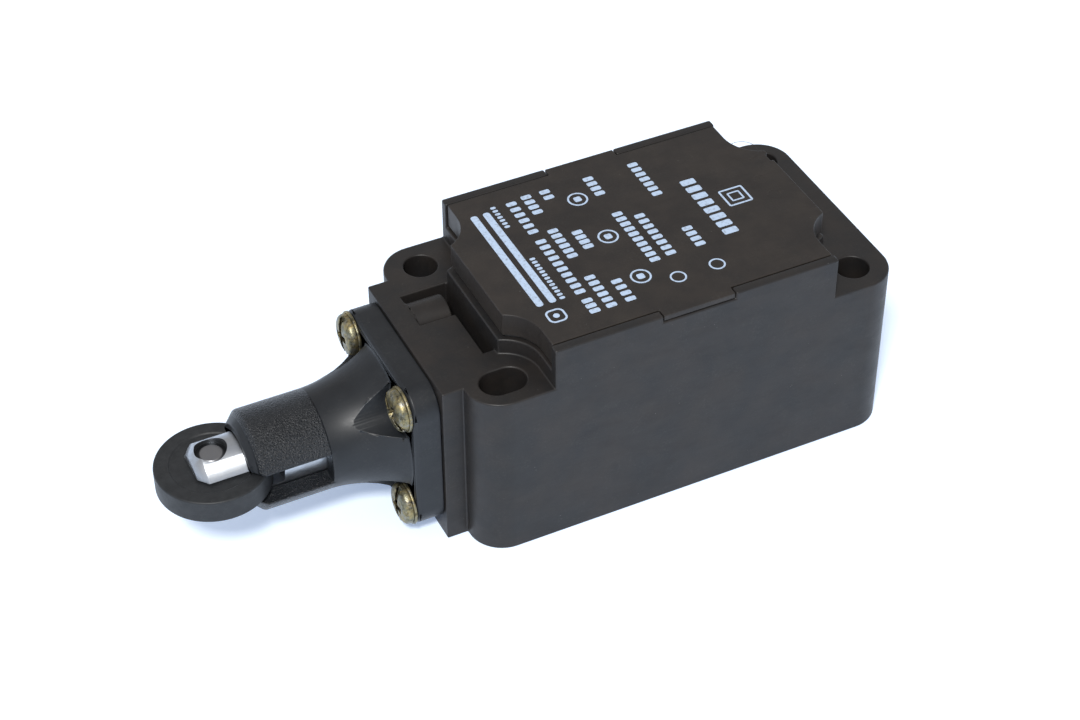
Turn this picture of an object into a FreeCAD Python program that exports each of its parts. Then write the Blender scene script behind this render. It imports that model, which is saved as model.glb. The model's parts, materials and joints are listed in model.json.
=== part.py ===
import FreeCAD, Part
import os
import re
import Sketcher
from FreeCAD import Rotation, Vector

# Limit switch with a roller plunger, as an assembly of separate pieces. Millimetres.
#
# Frame: the origin is the centre of the four mounting holes, on the back face.
#   +X  along the housing, from the roller end to the cable end
#   +Y  across the housing
#   +Z  out of the back face, towards the cover
# The plunger, its springs and the contact carrier all move along X, on one axis that
# lies head_axis above the back face.

# ---------------------------------------------------------------------------
# Driving dimensions. Each is a word, so that the sheet takes it as an alias.
# ---------------------------------------------------------------------------
SIZES = {
    # mounting holes, through the four corner lugs
    "hole_pitch_long": 60.0,
    "hole_pitch_wide": 30.0,
    "hole_radius": 2.65,
    "slot_stretch": 2.0,
    # housing moulding
    "body_length": 72.0,
    "body_width": 40.4,
    "body_depth": 37.1,
    "ledge_height": 29.8,
    "lug_radius": 5.6,
    "wall": 2.4,
    "base_thickness": 2.6,
    "rim_height": 32.5,
    "rim_wall": 1.6,
    "raised_front": 28.1,
    "raised_rear": 28.2,
    "notch_radius": 6.1,
    "step_length": 3.4,
    "step_width": 28.0,
    "trench_width": 1.9,
    "trench_depth": 5.0,
    "trench_low": 8.0,
    "trench_high": 9.5,
    "niche_front": 35.8,
    "niche_low": 2.0,
    "niche_depth": 2.2,
    "hump_radius": 3.4,
    "hump_proud": 0.4,
    "end_pad_width": 20.6,
    "end_pad_height": 24.8,
    "end_pad_proud": 1.0,
    "end_pad_corner": 2.0,
    "entry_radius": 9.19,
    # cover
    "cover_front_inset": 0.8,
    "cover_rear_inset": 0.4,
    "cover_notch_extra": 0.3,
    "cover_gap": 0.15,
    "cover_plate": 2.2,
    "tab_length": 12.0,
    "tab_height": 1.0,
    "tongue_wall": 1.2,
    "tongue_depth": 4.0,
    "tongue_gap": 0.3,
    "pry_length": 2.0,
    "pry_width": 0.5,
    "pry_depth": 1.2,
    "pry_inset": 1.2,
    "gasket_thickness": 0.6,
    "gasket_inset": 0.5,
    # operating head
    "head_axis": 15.8,
    "flange_size": 26.8,
    "flange_corner": 4.4,
    "flange_thickness": 4.4,
    "flange_bevel": 0.5,
    "neck_length": 11.0,
    "neck_curve": 17.0,
    "nose_radius": 8.0,
    "nose_length": 12.2,
    "nose_bevel": 1.7,
    "scallop_radius": 5.0,
    "screw_pitch": 19.2,
    "screw_radius": 1.75,
    "screw_head_radius": 3.35,
    "screw_rim_height": 1.0,
    "screw_head_height": 1.6,
    "screw_reach": 8.5,
    "screw_dome_slope": 50.0,
    "drive_width": 0.9,
    "drive_depth": 0.8,
    "cross_depth": 1.1,
    "cross_reach": 1.65,
    "screw_gap": 0.1,
    "washer_radius": 3.6,
    "washer_thickness": 0.5,
    "washer_gap": 0.15,
    "window_height": 5.6,
    "head_gasket_inner": 8.0,
    "head_gasket_outer": 10.3,
    "head_gasket_thickness": 0.7,
    "seal_length": 1.8,
    "seal_depth": 1.3,
    "seal_lip": 0.43,
    "seal_setback": 1.8,
    # plunger, roller and return spring
    "plunger_radius": 5.0,
    "guide_gap": 0.05,
    "plunger_travel": 5.5,
    "ear_reach": 3.4,
    "ear_bevel": 1.4,
    "collar_radius": 6.1,
    "collar_length": 2.4,
    "chamber_radius": 6.5,
    "chamber_depth": 7.6,
    "spring_seat_depth": 9.4,
    "spring_pilot_radius": 3.7,
    "spring_pilot_length": 3.5,
    "stem_radius": 2.6,
    "stem_gap": 0.4,
    "roller_radius": 8.85,
    "roller_width": 4.0,
    "roller_offset": 31.7,
    "roller_gap": 0.15,
    "roller_clear": 0.7,
    "roller_edge": 0.35,
    "roller_land": 2.25,
    "roller_dish": 0.15,
    "roller_hub_radius": 3.1,
    "pin_radius": 1.9,
    "pin_half_length": 3.9,
    "pin_recess_radius": 2.5,
    "pin_recess_level": 3.65,
    "pin_bevel": 0.2,
    "running_gap": 0.05,
    "spring_coil_radius": 5.1,
    "spring_wire": 0.9,
    "spring_turns": 6.0,
    # contact block
    "block_front": 20.5,
    "block_rear": 9.5,
    "block_width": 32.4,
    "block_height": 20.4,
    "block_wall": 2.0,
    "channel_width": 19.2,
    "channel_floor": 3.4,
    "lid_thickness": 2.0,
    "lid_key_height": 0.2,
    "lid_key_margin": 1.0,
    "carrier_width": 6.8,
    "carrier_end": 3.6,
    "carrier_gap": 0.2,
    "slide_headroom": 0.6,
    "button_radius": 3.0,
    "button_reach": 3.8,
    "button_slack": 0.1,
    "bridge_thickness": 1.0,
    "bridge_height": 3.4,
    "bridge_half_length": 8.8,
    "nc_bridge_face": 10.9,
    "no_bridge_face": 5.7,
    "stud_radius": 1.5,
    "stud_height": 0.75,
    "stud_offset": 7.4,
    "contact_gap": 0.1,
    "strip_thickness": 1.0,
    "strip_width": 5.0,
    "leg_inner": 5.9,
    "leg_drop": 10.0,
    "terminal_offset": 12.6,
    "no_terminal_shift": 1.6,
    "clamp_size": 6.6,
    "clamp_thickness": 1.0,
    "terminal_radius": 1.75,
    "terminal_head_radius": 3.0,
    "terminal_head_height": 2.0,
    "terminal_reach": 8.0,
    "post_offset": 12.6,
    "post_place": 4.75,
    "post_radius": 3.2,
    "post_height": 6.0,
    "post_gap": 0.2,
    "fixing_radius": 1.5,
    "fixing_reach": 4.5,
    "contact_spring_radius": 1.3,
    "contact_spring_wire": 0.45,
    "contact_spring_turns": 3.0,
    "carrier_spring_radius": 2.6,
    "carrier_spring_wire": 0.8,
    "carrier_spring_turns": 5.0,
    # how far a cut runs past the face that it opens through
    "cut_past": 1.0,
}

# ---------------------------------------------------------------------------
# Places that follow from the driving dimensions.
# ---------------------------------------------------------------------------
LUG_END = "body_length / 2"
STEP_FACE = "(body_length / 2 + step_length)"
FLANGE_FACE = "(body_length / 2 + step_length + flange_thickness)"
NOSE_START = "(body_length / 2 + step_length + flange_thickness + neck_length)"
NOSE_FRONT = "(body_length / 2 + step_length + flange_thickness + neck_length + nose_length)"
ROLLER_PLACE = "(body_length / 2 + step_length + roller_offset)"
CHAMBER_FRONT = "(body_length / 2 + step_length + chamber_depth)"
SPRING_SEAT = "(body_length / 2 + step_length - spring_seat_depth)"
COLLAR_BACK = "(body_length / 2 + step_length + chamber_depth - collar_length - running_gap)"
CAVITY_FRONT = "(raised_front - wall)"
CAVITY_REAR = "(raised_rear - wall)"
CAVITY_SIDE = "(body_width / 2 - wall)"
CAVITY_NOTCH = "(notch_radius + wall)"
COVER_FRONT = "(raised_front - cover_front_inset)"
COVER_REAR = "(raised_rear - cover_rear_inset)"
COVER_NOTCH = "(notch_radius + cover_notch_extra)"
COVER_SIDE = "(body_width / 2 - rim_wall - cover_gap)"
COVER_FOOT = "(rim_height + gasket_thickness)"
BUTTON_FRONT = "(block_front + button_reach)"
CHANNEL_FRONT = "(block_front - block_wall)"
CHANNEL_REAR = "(block_rear - block_wall)"
BLOCK_TOP = "(base_thickness + block_height)"
CHANNEL_FLOOR = "(base_thickness + channel_floor)"
PITCH = "screw_pitch / 2"
NC_FACE = "(-nc_bridge_face - stud_height * 2 - contact_gap)"
NO_FACE = "(-no_bridge_face + stud_height * 2 + plunger_travel + contact_gap)"
NC_TERMINAL = "(-nc_bridge_face - stud_height * 2 - contact_gap - strip_thickness / 2)"
NO_TERMINAL = ("(-no_bridge_face + stud_height * 2 + plunger_travel + contact_gap"
               " + strip_thickness / 2 + no_terminal_shift)")

doc = FreeCAD.newDocument("limit_switch")
sheet = doc.addObject("Spreadsheet::Sheet", "Sizes")
for row, (alias, number) in enumerate(SIZES.items(), start=1):
    sheet.set("A%d" % row, alias)
    sheet.set("B%d" % row, str(number))
    sheet.setAlias("B%d" % row, alias)
doc.recompute()

SIZE_WORD = re.compile(r"[a-z][a-z_]*\b(?!\()")
nodes = {}


# ---------------------------------------------------------------------------
# Helpers: expressions, sketches and features
# ---------------------------------------------------------------------------
def linked(text):
    """The text with each size word turned into a reference to its cell."""
    return SIZE_WORD.sub(lambda word: "Sizes." + word.group(), str(text))


def measure(text):
    """The present value of an expression, to place geometry before it is constrained."""
    return float(sheet.evalExpression(linked(text)))


def bind(thing, path, text):
    """Ties a property or constraint to an expression of the sheet's sizes."""
    thing.setExpression(path, linked(text))


def new_body(label, axis_height=None, along=None):
    """A PartDesign body, placed on the plunger axis when axis_height is given."""
    body = doc.addObject("PartDesign::Body", label)
    body.Label = label
    body.AllowCompound = True
    if axis_height is not None:
        bind(body, "Placement.Base.z", axis_height)
    if along is not None:
        bind(body, "Placement.Base.x", along)
    nodes[label] = body
    return body


def origin_feature(body, role):
    """The body's own plane or axis of that role."""
    return [item for item in body.Origin.OriginFeatures if item.Role == role][0]


def lock_point(sketch, edge, end, x_text, y_text):
    """Fixes one end of an edge at two expressions."""
    for kind, text in (("DistanceX", x_text), ("DistanceY", y_text)):
        number = sketch.addConstraint(Sketcher.Constraint(kind, -1, 1, edge, end, measure(text)))
        bind(sketch, "Constraints[%d]" % number, text)


def draw_circle(sketch, x_text, y_text, radius):
    """A circle with its centre and radius tied to expressions."""
    centre = Vector(measure(x_text), measure(y_text), 0)
    edge = sketch.addGeometry(Part.Circle(centre, Vector(0, 0, 1), measure(radius)))
    number = sketch.addConstraint(Sketcher.Constraint("Radius", edge, measure(radius)))
    bind(sketch, "Constraints[%d]" % number, radius)
    lock_point(sketch, edge, 3, x_text, y_text)


def arc_between(start, end, radius, turn):
    """The short arc of that radius from start to end; turn is 1 anticlockwise, -1 clockwise."""
    chord = end - start
    rise = max(radius ** 2 - (chord.Length / 2) ** 2, 0.0) ** 0.5
    side = Vector(-chord.y, chord.x, 0).normalize() * rise * turn
    circle = Part.Circle((start + end) / 2 + side, Vector(0, 0, 1), radius)
    first, last = (start, end) if turn > 0 else (end, start)
    return Part.ArcOfCircle(circle, circle.parameter(first), circle.parameter(last))


def draw_loop(sketch, corners):
    """A closed outline. A corner is (x, y), or (x, y, radius, turn) if an arc leaves it."""
    points = [Vector(measure(corner[0]), measure(corner[1]), 0) for corner in corners]
    ends = []
    for place, corner in enumerate(corners):
        start, end = points[place], points[(place + 1) % len(points)]
        if len(corner) == 2:
            edge = sketch.addGeometry(Part.LineSegment(start, end))
            ends.append((edge, 1, 2))
        else:
            radius, turn = corner[2], corner[3]
            edge = sketch.addGeometry(arc_between(start, end, measure(radius), turn))
            ends.append((edge, 1, 2) if turn > 0 else (edge, 2, 1))
            number = sketch.addConstraint(Sketcher.Constraint("Radius", edge, measure(radius)))
            bind(sketch, "Constraints[%d]" % number, radius)
    for place, corner in enumerate(corners):
        before, here = ends[place - 1], ends[place]
        sketch.addConstraint(Sketcher.Constraint("Coincident", before[0], before[2], here[0], here[1]))
        lock_point(sketch, here[0], here[1], corner[0], corner[1])


def new_sketch(body, role, name, loops, offset=None):
    """A sketch on the body's plane, moved along that plane's normal by offset."""
    sketch = body.newObject("Sketcher::SketchObject", body.Name + "_" + name)
    sketch.AttachmentSupport = [(origin_feature(body, role), "")]
    sketch.MapMode = "FlatFace"
    if offset is not None:
        bind(sketch, "AttachmentOffset.Base.z", offset)
    for loop in loops:
        if loop[0] == "circle":
            draw_circle(sketch, *loop[1:])
        else:
            draw_loop(sketch, loop)
    return sketch


def add_feature(body, kind, sketch, length=None, reverse=False):
    """A pad, pocket, revolution or groove, checked for a real change of volume."""
    before = body.Shape.Volume if body.Tip else 0.0
    feature = body.newObject("PartDesign::" + kind, sketch.Name + "_" + kind.lower())
    feature.Profile = sketch
    if kind in ("Revolution", "Groove"):
        feature.Angle = 360
    elif length == "through":
        feature.Type = "ThroughAll"
        feature.Midplane = True
    else:
        bind(feature, "Length", length)
    feature.Reversed = reverse
    return feature, before


def settle(body, feature, before, removes):
    """Recomputes and stops if the feature did nothing or went the wrong way."""
    doc.recompute()
    change = body.Shape.Volume - before
    if feature.State and ("Invalid" in feature.State or "Error" in feature.State):
        raise RuntimeError("%s failed: %s" % (feature.Name, feature.State))
    if (change > -1e-6) if removes else (change < 1e-6):
        raise RuntimeError("%s changed the volume by %.6f" % (feature.Name, change))
    return feature


def pad(body, role, name, loops, length, offset=None, reverse=False):
    """Adds material from a sketch, along the plane's normal."""
    sketch = new_sketch(body, role, name, loops, offset)
    feature, before = add_feature(body, "Pad", sketch, length, reverse)
    return settle(body, feature, before, removes=False)


def cut(body, role, name, loops, length, offset=None, reverse=False):
    """Takes material away from a sketch, against the plane's normal."""
    sketch = new_sketch(body, role, name, loops, offset)
    feature, before = add_feature(body, "Pocket", sketch, length, reverse)
    return settle(body, feature, before, removes=True)


def turn_solid(body, role, axis, name, corners):
    """Adds a turned shape about one of the body's own axes."""
    sketch = new_sketch(body, role, name, [corners])
    feature, before = add_feature(body, "Revolution", sketch)
    feature.ReferenceAxis = (origin_feature(body, axis), [""])
    return settle(body, feature, before, removes=False)


def turn_cut(body, role, axis, name, corners):
    """Bores a turned shape out about one of the body's own axes."""
    sketch = new_sketch(body, role, name, [corners])
    feature, before = add_feature(body, "Groove", sketch)
    feature.ReferenceAxis = (origin_feature(body, axis), [""])
    return settle(body, feature, before, removes=True)


def four_round(body, features, name):
    """Repeats features four times round the body's X axis."""
    pattern = body.newObject("PartDesign::PolarPattern", body.Name + "_" + name)
    pattern.Originals = features
    pattern.Axis = (origin_feature(body, "X_Axis"), [""])
    pattern.Angle = 360
    pattern.Occurrences = 4
    body.Tip = pattern
    doc.recompute()


def mirror_in(body, features, role, name):
    """Repeats features on the other side of one of the body's planes."""
    mirror = body.newObject("PartDesign::Mirrored", body.Name + "_" + name)
    mirror.Originals = features
    mirror.MirrorPlane = (origin_feature(body, role), [""])
    body.Tip = mirror
    doc.recompute()


def bevel_edges(body, name, size, wanted):
    """Bevels the edges of the body's tip that wanted(edge) picks."""
    tip = body.Tip
    names = ["Edge%d" % (n + 1) for n, edge in enumerate(tip.Shape.Edges) if wanted(edge)]
    feature = body.newObject("PartDesign::Chamfer", body.Name + "_" + name)
    feature.Base = (tip, names)
    bind(feature, "Size", size)
    doc.recompute()
    if not names or "Invalid" in feature.State or feature.Shape.isNull():
        raise RuntimeError("%s: %d edges, %s" % (feature.Name, len(names), feature.State))


def rectangle(x_low, y_low, x_high, y_high):
    """A rectangle from two opposite corners."""
    return [(x_low, y_low), (x_high, y_low), (x_high, y_high), (x_low, y_high)]


def rounded_rectangle(x_low, y_low, x_high, y_high, radius):
    """A rectangle with round corners, drawn anticlockwise."""
    r = "(" + radius + ")"
    return [
        (x_low + " + " + r, y_low),
        (x_high + " - " + r, y_low, radius, 1),
        (x_high, y_low + " + " + r),
        (x_high, y_high + " - " + r, radius, 1),
        (x_high + " - " + r, y_high),
        (x_low + " + " + r, y_high, radius, 1),
        (x_low, y_high + " - " + r),
        (x_low, y_low + " + " + r, radius, 1),
    ]


def mirrored_in_y(upper):
    """Closes an outline whose corners run from +X to -X on the +Y side."""
    lower = []
    for place in range(len(upper) - 1, -1, -1):
        leaving = upper[place - 1][2:] if place > 0 else ()
        lower.append((upper[place][0], "-(" + upper[place][1] + ")") + tuple(leaving))
    return list(upper) + lower


def notched_outline(front, rear, side, radius):
    """The middle of the housing, hollowed round each mounting hole by an arc of radius."""

    def meet(end):
        reach = "(hole_pitch_long / 2 - " + end + ")"
        return "(hole_pitch_wide / 2 - sqrt(" + radius + "^2 - " + reach + "^2))"

    shoulder = "(hole_pitch_long / 2 - " + radius + ")"
    return mirrored_in_y([
        (rear, meet(rear), radius, -1),
        (shoulder, "hole_pitch_wide / 2"),
        (shoulder, side),
        ("-" + shoulder, side),
        ("-" + shoulder, "hole_pitch_wide / 2", radius, -1),
        ("-" + front, meet(front)),
    ])


def slot_loop(x_text, y_text, stretch, radius):
    """A slot along X, stretch longer than it is wide."""
    left = "(" + x_text + ") - " + stretch + " / 2"
    right = "(" + x_text + ") + " + stretch + " / 2"
    low = "(" + y_text + ") - " + radius
    high = "(" + y_text + ") + " + radius
    return [(left, low), (right, low, radius, 1), (right + " + " + radius, y_text, radius, 1),
            (right, high), (left, high, radius, 1), (left + " - " + radius, y_text, radius, 1)]


# ---------------------------------------------------------------------------
# Housing: one moulding with four lugs, a raised hollow middle and a step for the head
# ---------------------------------------------------------------------------
def make_housing():
    """The thermoplastic base that holds everything."""
    body = new_body("housing")
    half_width = "body_width / 2"
    pad(body, "XY_Plane", "lugs",
        [rounded_rectangle("-body_length / 2", "-" + half_width, LUG_END, half_width, "lug_radius")],
        "ledge_height")
    pad(body, "XY_Plane", "step",
        [rectangle("-" + STEP_FACE, "-step_width / 2", "-hole_pitch_long / 2", "step_width / 2")],
        "ledge_height")
    pad(body, "XY_Plane", "middle",
        [notched_outline("raised_front", "raised_rear", half_width, "notch_radius")], "rim_height")
    shoulder = "(hole_pitch_long / 2 - notch_radius)"
    inner = "(body_width / 2 - rim_wall)"
    pad(body, "XY_Plane", "rims",
        [rectangle("-" + shoulder, inner, shoulder, half_width),
         rectangle("-" + shoulder, "-" + half_width, shoulder, "-" + inner)],
        "body_depth - rim_height", offset="rim_height")
    cut(body, "XY_Plane", "tab_seats",
        [rectangle("-tab_length / 2 - cover_gap", inner, "tab_length / 2 + cover_gap", half_width),
         rectangle("-tab_length / 2 - cover_gap", "-" + half_width,
                   "tab_length / 2 + cover_gap", "-" + inner)],
        "tab_height + cover_gap", offset="body_depth")
    cut(body, "XY_Plane", "cavity",
        [notched_outline(CAVITY_FRONT, CAVITY_REAR, CAVITY_SIDE, CAVITY_NOTCH)],
        "rim_height - base_thickness", offset="rim_height")
    pad(body, "XY_Plane", "posts",
        [("circle", "-post_place", "post_offset", "post_radius"),
         ("circle", "-post_place", "-post_offset", "post_radius")],
        "post_height", offset="base_thickness")
    cut(body, "XY_Plane", "post_holes",
        [("circle", "-post_place", "post_offset", "fixing_radius + running_gap"),
         ("circle", "-post_place", "-post_offset", "fixing_radius + running_gap")],
        "fixing_reach + running_gap", offset="base_thickness + post_height")
    cut(body, "XY_Plane", "mounting_holes",
        [("circle", "-hole_pitch_long / 2", "hole_pitch_wide / 2", "hole_radius"),
         ("circle", "hole_pitch_long / 2", "-hole_pitch_wide / 2", "hole_radius")],
        "body_depth + cut_past", offset="body_depth")
    cut(body, "XY_Plane", "mounting_slots",
        [slot_loop("-hole_pitch_long / 2", "-hole_pitch_wide / 2", "slot_stretch", "hole_radius"),
         slot_loop("hole_pitch_long / 2", "hole_pitch_wide / 2", "slot_stretch", "hole_radius")],
        "body_depth + cut_past", offset="body_depth")
    cut(body, "XY_Plane", "trench",
        [rectangle("-raised_front - trench_width", "-trench_low", "-raised_front", "trench_high")],
        "trench_depth", offset="ledge_height")
    cut(body, "XY_Plane", "niche",
        [rectangle("-niche_front", "niche_low", "-raised_front", "trench_high")],
        "niche_depth", offset="ledge_height")
    hump_y = "(niche_low + trench_high) / 2"
    hump_z = "ledge_height + hump_proud - hump_radius"
    pad(body, "YZ_Plane", "hump", [("circle", hump_y, hump_z, "hump_radius")],
        "niche_front - raised_front - trench_width", offset="-niche_front")
    cut(body, "YZ_Plane", "spring_bore", [("circle", "0", "head_axis", "chamber_radius")],
        "spring_seat_depth", offset="-" + STEP_FACE, reverse=True)
    cut(body, "YZ_Plane", "stem_bore", [("circle", "0", "head_axis", "stem_radius + stem_gap")],
        STEP_FACE + " - " + CAVITY_FRONT + " + cut_past", offset="-" + STEP_FACE, reverse=True)
    pilot = "(screw_radius + running_gap)"
    low = "head_axis - " + PITCH
    high = "head_axis + " + PITCH
    cut(body, "YZ_Plane", "pilot_holes",
        [("circle", PITCH, low, pilot), ("circle", "-" + PITCH, low, pilot),
         ("circle", PITCH, high, pilot), ("circle", "-" + PITCH, high, pilot)],
        "screw_reach + running_gap", offset="-" + STEP_FACE, reverse=True)
    pad(body, "YZ_Plane", "end_pad",
        [rounded_rectangle("-end_pad_width / 2", "head_axis - end_pad_height / 2",
                           "end_pad_width / 2", "head_axis + end_pad_height / 2", "end_pad_corner")],
        "end_pad_proud", offset=LUG_END)
    cut(body, "YZ_Plane", "cable_entry", [("circle", "0", "head_axis", "entry_radius")],
        LUG_END + " + end_pad_proud - hole_pitch_long / 2 + " + CAVITY_NOTCH,
        offset=LUG_END + " + end_pad_proud")


# ---------------------------------------------------------------------------
# Cover: a plate with a skirt that stands on the gasket and two snap tabs
# ---------------------------------------------------------------------------
def make_cover():
    """The lift-off cover."""
    body = new_body("cover")
    outline = notched_outline(COVER_FRONT, COVER_REAR, COVER_SIDE, COVER_NOTCH)
    pad(body, "XY_Plane", "plate", [outline], "body_depth - " + COVER_FOOT, offset=COVER_FOOT)
    pad(body, "XY_Plane", "tongue",
        [notched_outline("(" + CAVITY_FRONT + " - tongue_gap)", "(" + CAVITY_REAR + " - tongue_gap)",
                         "(" + CAVITY_SIDE + " - tongue_gap)", "(" + CAVITY_NOTCH + " + tongue_gap)")],
        "tongue_depth", offset=COVER_FOOT + " - tongue_depth")
    inset = " - tongue_gap - tongue_wall)"
    cut(body, "XY_Plane", "hollow",
        [notched_outline("(" + CAVITY_FRONT + inset, "(" + CAVITY_REAR + inset,
                         "(" + CAVITY_SIDE + inset, "(" + CAVITY_NOTCH + " + tongue_gap + tongue_wall)")],
        "body_depth - cover_plate - " + COVER_FOOT + " + tongue_depth",
        offset="body_depth - cover_plate")
    tip = "body_width / 2 - cover_gap"
    pad(body, "XY_Plane", "tabs",
        [rectangle("-tab_length / 2", COVER_SIDE, "tab_length / 2", tip),
         rectangle("-tab_length / 2", "-(" + tip + ")", "tab_length / 2", "-" + COVER_SIDE)],
        "tab_height", offset="body_depth - tab_height")
    cut(body, "XY_Plane", "pry_slot",
        [rectangle(COVER_REAR + " - pry_width", "trench_high - pry_inset - pry_length",
                   COVER_REAR + " + cut_past", "trench_high - pry_inset")],
        "pry_depth", offset="body_depth")


def make_cover_gasket():
    """A flat rubber frame between the housing's rim and the cover."""
    body = new_body("cover_gasket")
    pad(body, "XY_Plane", "frame",
        [notched_outline("(" + COVER_FRONT + " - gasket_inset)", "(" + COVER_REAR + " - gasket_inset)",
                         "(" + COVER_SIDE + " - gasket_inset)", "(" + COVER_NOTCH + " + gasket_inset)"),
         notched_outline(CAVITY_FRONT, CAVITY_REAR, CAVITY_SIDE, CAVITY_NOTCH)],
        "gasket_thickness", offset="rim_height")


# ---------------------------------------------------------------------------
# Operating head
# ---------------------------------------------------------------------------
def make_head():
    """Flange, flared neck and bored nose with the window for the roller."""
    body = new_body("head_housing", axis_height="head_axis")
    half = "flange_size / 2"
    pad(body, "YZ_Plane", "flange",
        [rounded_rectangle("-" + half, "-" + half, half, half, "flange_corner")],
        "flange_thickness", offset="-" + STEP_FACE, reverse=True)
    front = measure("-" + FLANGE_FACE)
    bevel_edges(body, "flange_edge", "flange_bevel",
                lambda edge: max(abs(edge.BoundBox.XMin - front), abs(edge.BoundBox.XMax - front)) < 1e-4)
    base_radius = "nose_radius + neck_curve - sqrt(neck_curve^2 - neck_length^2)"
    inside = "-" + STEP_FACE + " - flange_thickness / 2"
    turn_solid(body, "XY_Plane", "X_Axis", "neck", [
        (inside, "0"),
        (inside, base_radius),
        ("-" + FLANGE_FACE, base_radius, "neck_curve", -1),
        ("-" + NOSE_START, "nose_radius"),
        ("-" + NOSE_FRONT + " + nose_bevel", "nose_radius"),
        ("-" + NOSE_FRONT, "nose_radius - nose_bevel"),
        ("-" + NOSE_FRONT, "0"),
    ])
    scallop = cut(body, "YZ_Plane", "scallop", [("circle", PITCH, PITCH, "scallop_radius")],
                  "neck_length + nose_length", offset="-" + FLANGE_FACE)
    four_round(body, [scallop], "scallops")
    screw_hole = cut(body, "YZ_Plane", "screw_hole",
                     [("circle", PITCH, PITCH, "screw_radius + screw_gap")],
                     "flange_thickness + cut_past", offset="-" + STEP_FACE)
    four_round(body, [screw_hole], "screw_holes")
    bore = "plunger_radius + guide_gap"
    seal_back = "-" + CHAMBER_FRONT + " - seal_setback"
    turn_cut(body, "XY_Plane", "X_Axis", "bore", [
        ("-" + STEP_FACE + " + cut_past", "0"),
        ("-" + STEP_FACE + " + cut_past", "chamber_radius"),
        ("-" + CHAMBER_FRONT, "chamber_radius"),
        ("-" + CHAMBER_FRONT, bore),
        (seal_back, bore),
        (seal_back, bore + " + seal_depth"),
        (seal_back + " - seal_length", bore + " + seal_depth"),
        (seal_back + " - seal_length", bore),
        ("-" + NOSE_FRONT + " - cut_past", bore),
        ("-" + NOSE_FRONT + " - cut_past", "0"),
    ])
    turn_cut(body, "XY_Plane", "X_Axis", "gasket_groove",
             rectangle("-" + STEP_FACE + " - head_gasket_thickness", "head_gasket_inner",
                       "-" + STEP_FACE + " + cut_past", "head_gasket_outer"))
    cut(body, "XZ_Plane", "window",
        [rectangle("-" + NOSE_FRONT + " - cut_past", "-window_height / 2", "-" + NOSE_START,
                   "window_height / 2")], "through")


def make_head_gasket():
    """Rubber ring in the back of the flange."""
    body = new_body("head_gasket", axis_height="head_axis")
    turn_solid(body, "XY_Plane", "X_Axis", "ring",
               rectangle("-" + STEP_FACE + " - head_gasket_thickness", "head_gasket_inner + running_gap",
                         "-" + STEP_FACE, "head_gasket_outer - running_gap"))


def make_plunger_seal():
    """Wiper ring round the plunger, in the head's groove."""
    body = new_body("plunger_seal", axis_height="head_axis")
    back = "-" + CHAMBER_FRONT + " - seal_setback"
    inner = "plunger_radius + running_gap"
    outer = "plunger_radius + guide_gap + seal_depth - running_gap"
    turn_solid(body, "XY_Plane", "X_Axis", "ring", [
        (back + " - running_gap", outer),
        (back + " - seal_length + running_gap", outer),
        (back + " - seal_length + running_gap", inner),
        (back + " - seal_length / 2", inner + " + seal_lip"),
        (back + " - running_gap", inner),
    ])


def make_head_screws():
    """Four cheese-head screws with a slot and a cross, and their washers."""
    body = new_body("head_screws", axis_height="head_axis")
    seat = FLANGE_FACE + " + washer_thickness"
    shank = pad(body, "YZ_Plane", "shank", [("circle", PITCH, PITCH, "screw_radius")],
                "flange_thickness + washer_thickness + screw_reach", offset="-(" + seat + ")")
    head = pad(body, "YZ_Plane", "head", [("circle", PITCH, PITCH, "screw_head_radius")],
               "screw_rim_height", offset="-(" + seat + ")", reverse=True)
    dome = pad(body, "YZ_Plane", "dome", [("circle", PITCH, PITCH, "screw_head_radius")],
               "screw_head_height - screw_rim_height", offset="-(" + seat + " + screw_rim_height)",
               reverse=True)
    bind(dome, "TaperAngle", "-screw_dome_slope")
    doc.recompute()
    top = "-(" + seat + " + screw_head_height)"
    half = "drive_width / 2"
    reach = "screw_head_radius"
    slot = cut(body, "YZ_Plane", "drive",
               [rectangle(PITCH + " - " + reach + " - cut_past", PITCH + " - " + half,
                          PITCH + " + " + reach + " + cut_past", PITCH + " + " + half)],
               "drive_depth", offset=top, reverse=True)
    cross = cut(body, "YZ_Plane", "cross",
                [rectangle(PITCH + " - " + half, PITCH + " - cross_reach",
                           PITCH + " + " + half, PITCH + " + cross_reach")],
                "cross_depth", offset=top, reverse=True)
    four_round(body, [shank, head, dome, slot, cross], "set")
    washers = new_body("head_screw_washers", axis_height="head_axis")
    ring = pad(washers, "YZ_Plane", "ring",
               [("circle", PITCH, PITCH, "washer_radius"),
                ("circle", PITCH, PITCH, "screw_radius + washer_gap")],
               "washer_thickness", offset="-" + FLANGE_FACE, reverse=True)
    four_round(washers, [ring], "set")


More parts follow.
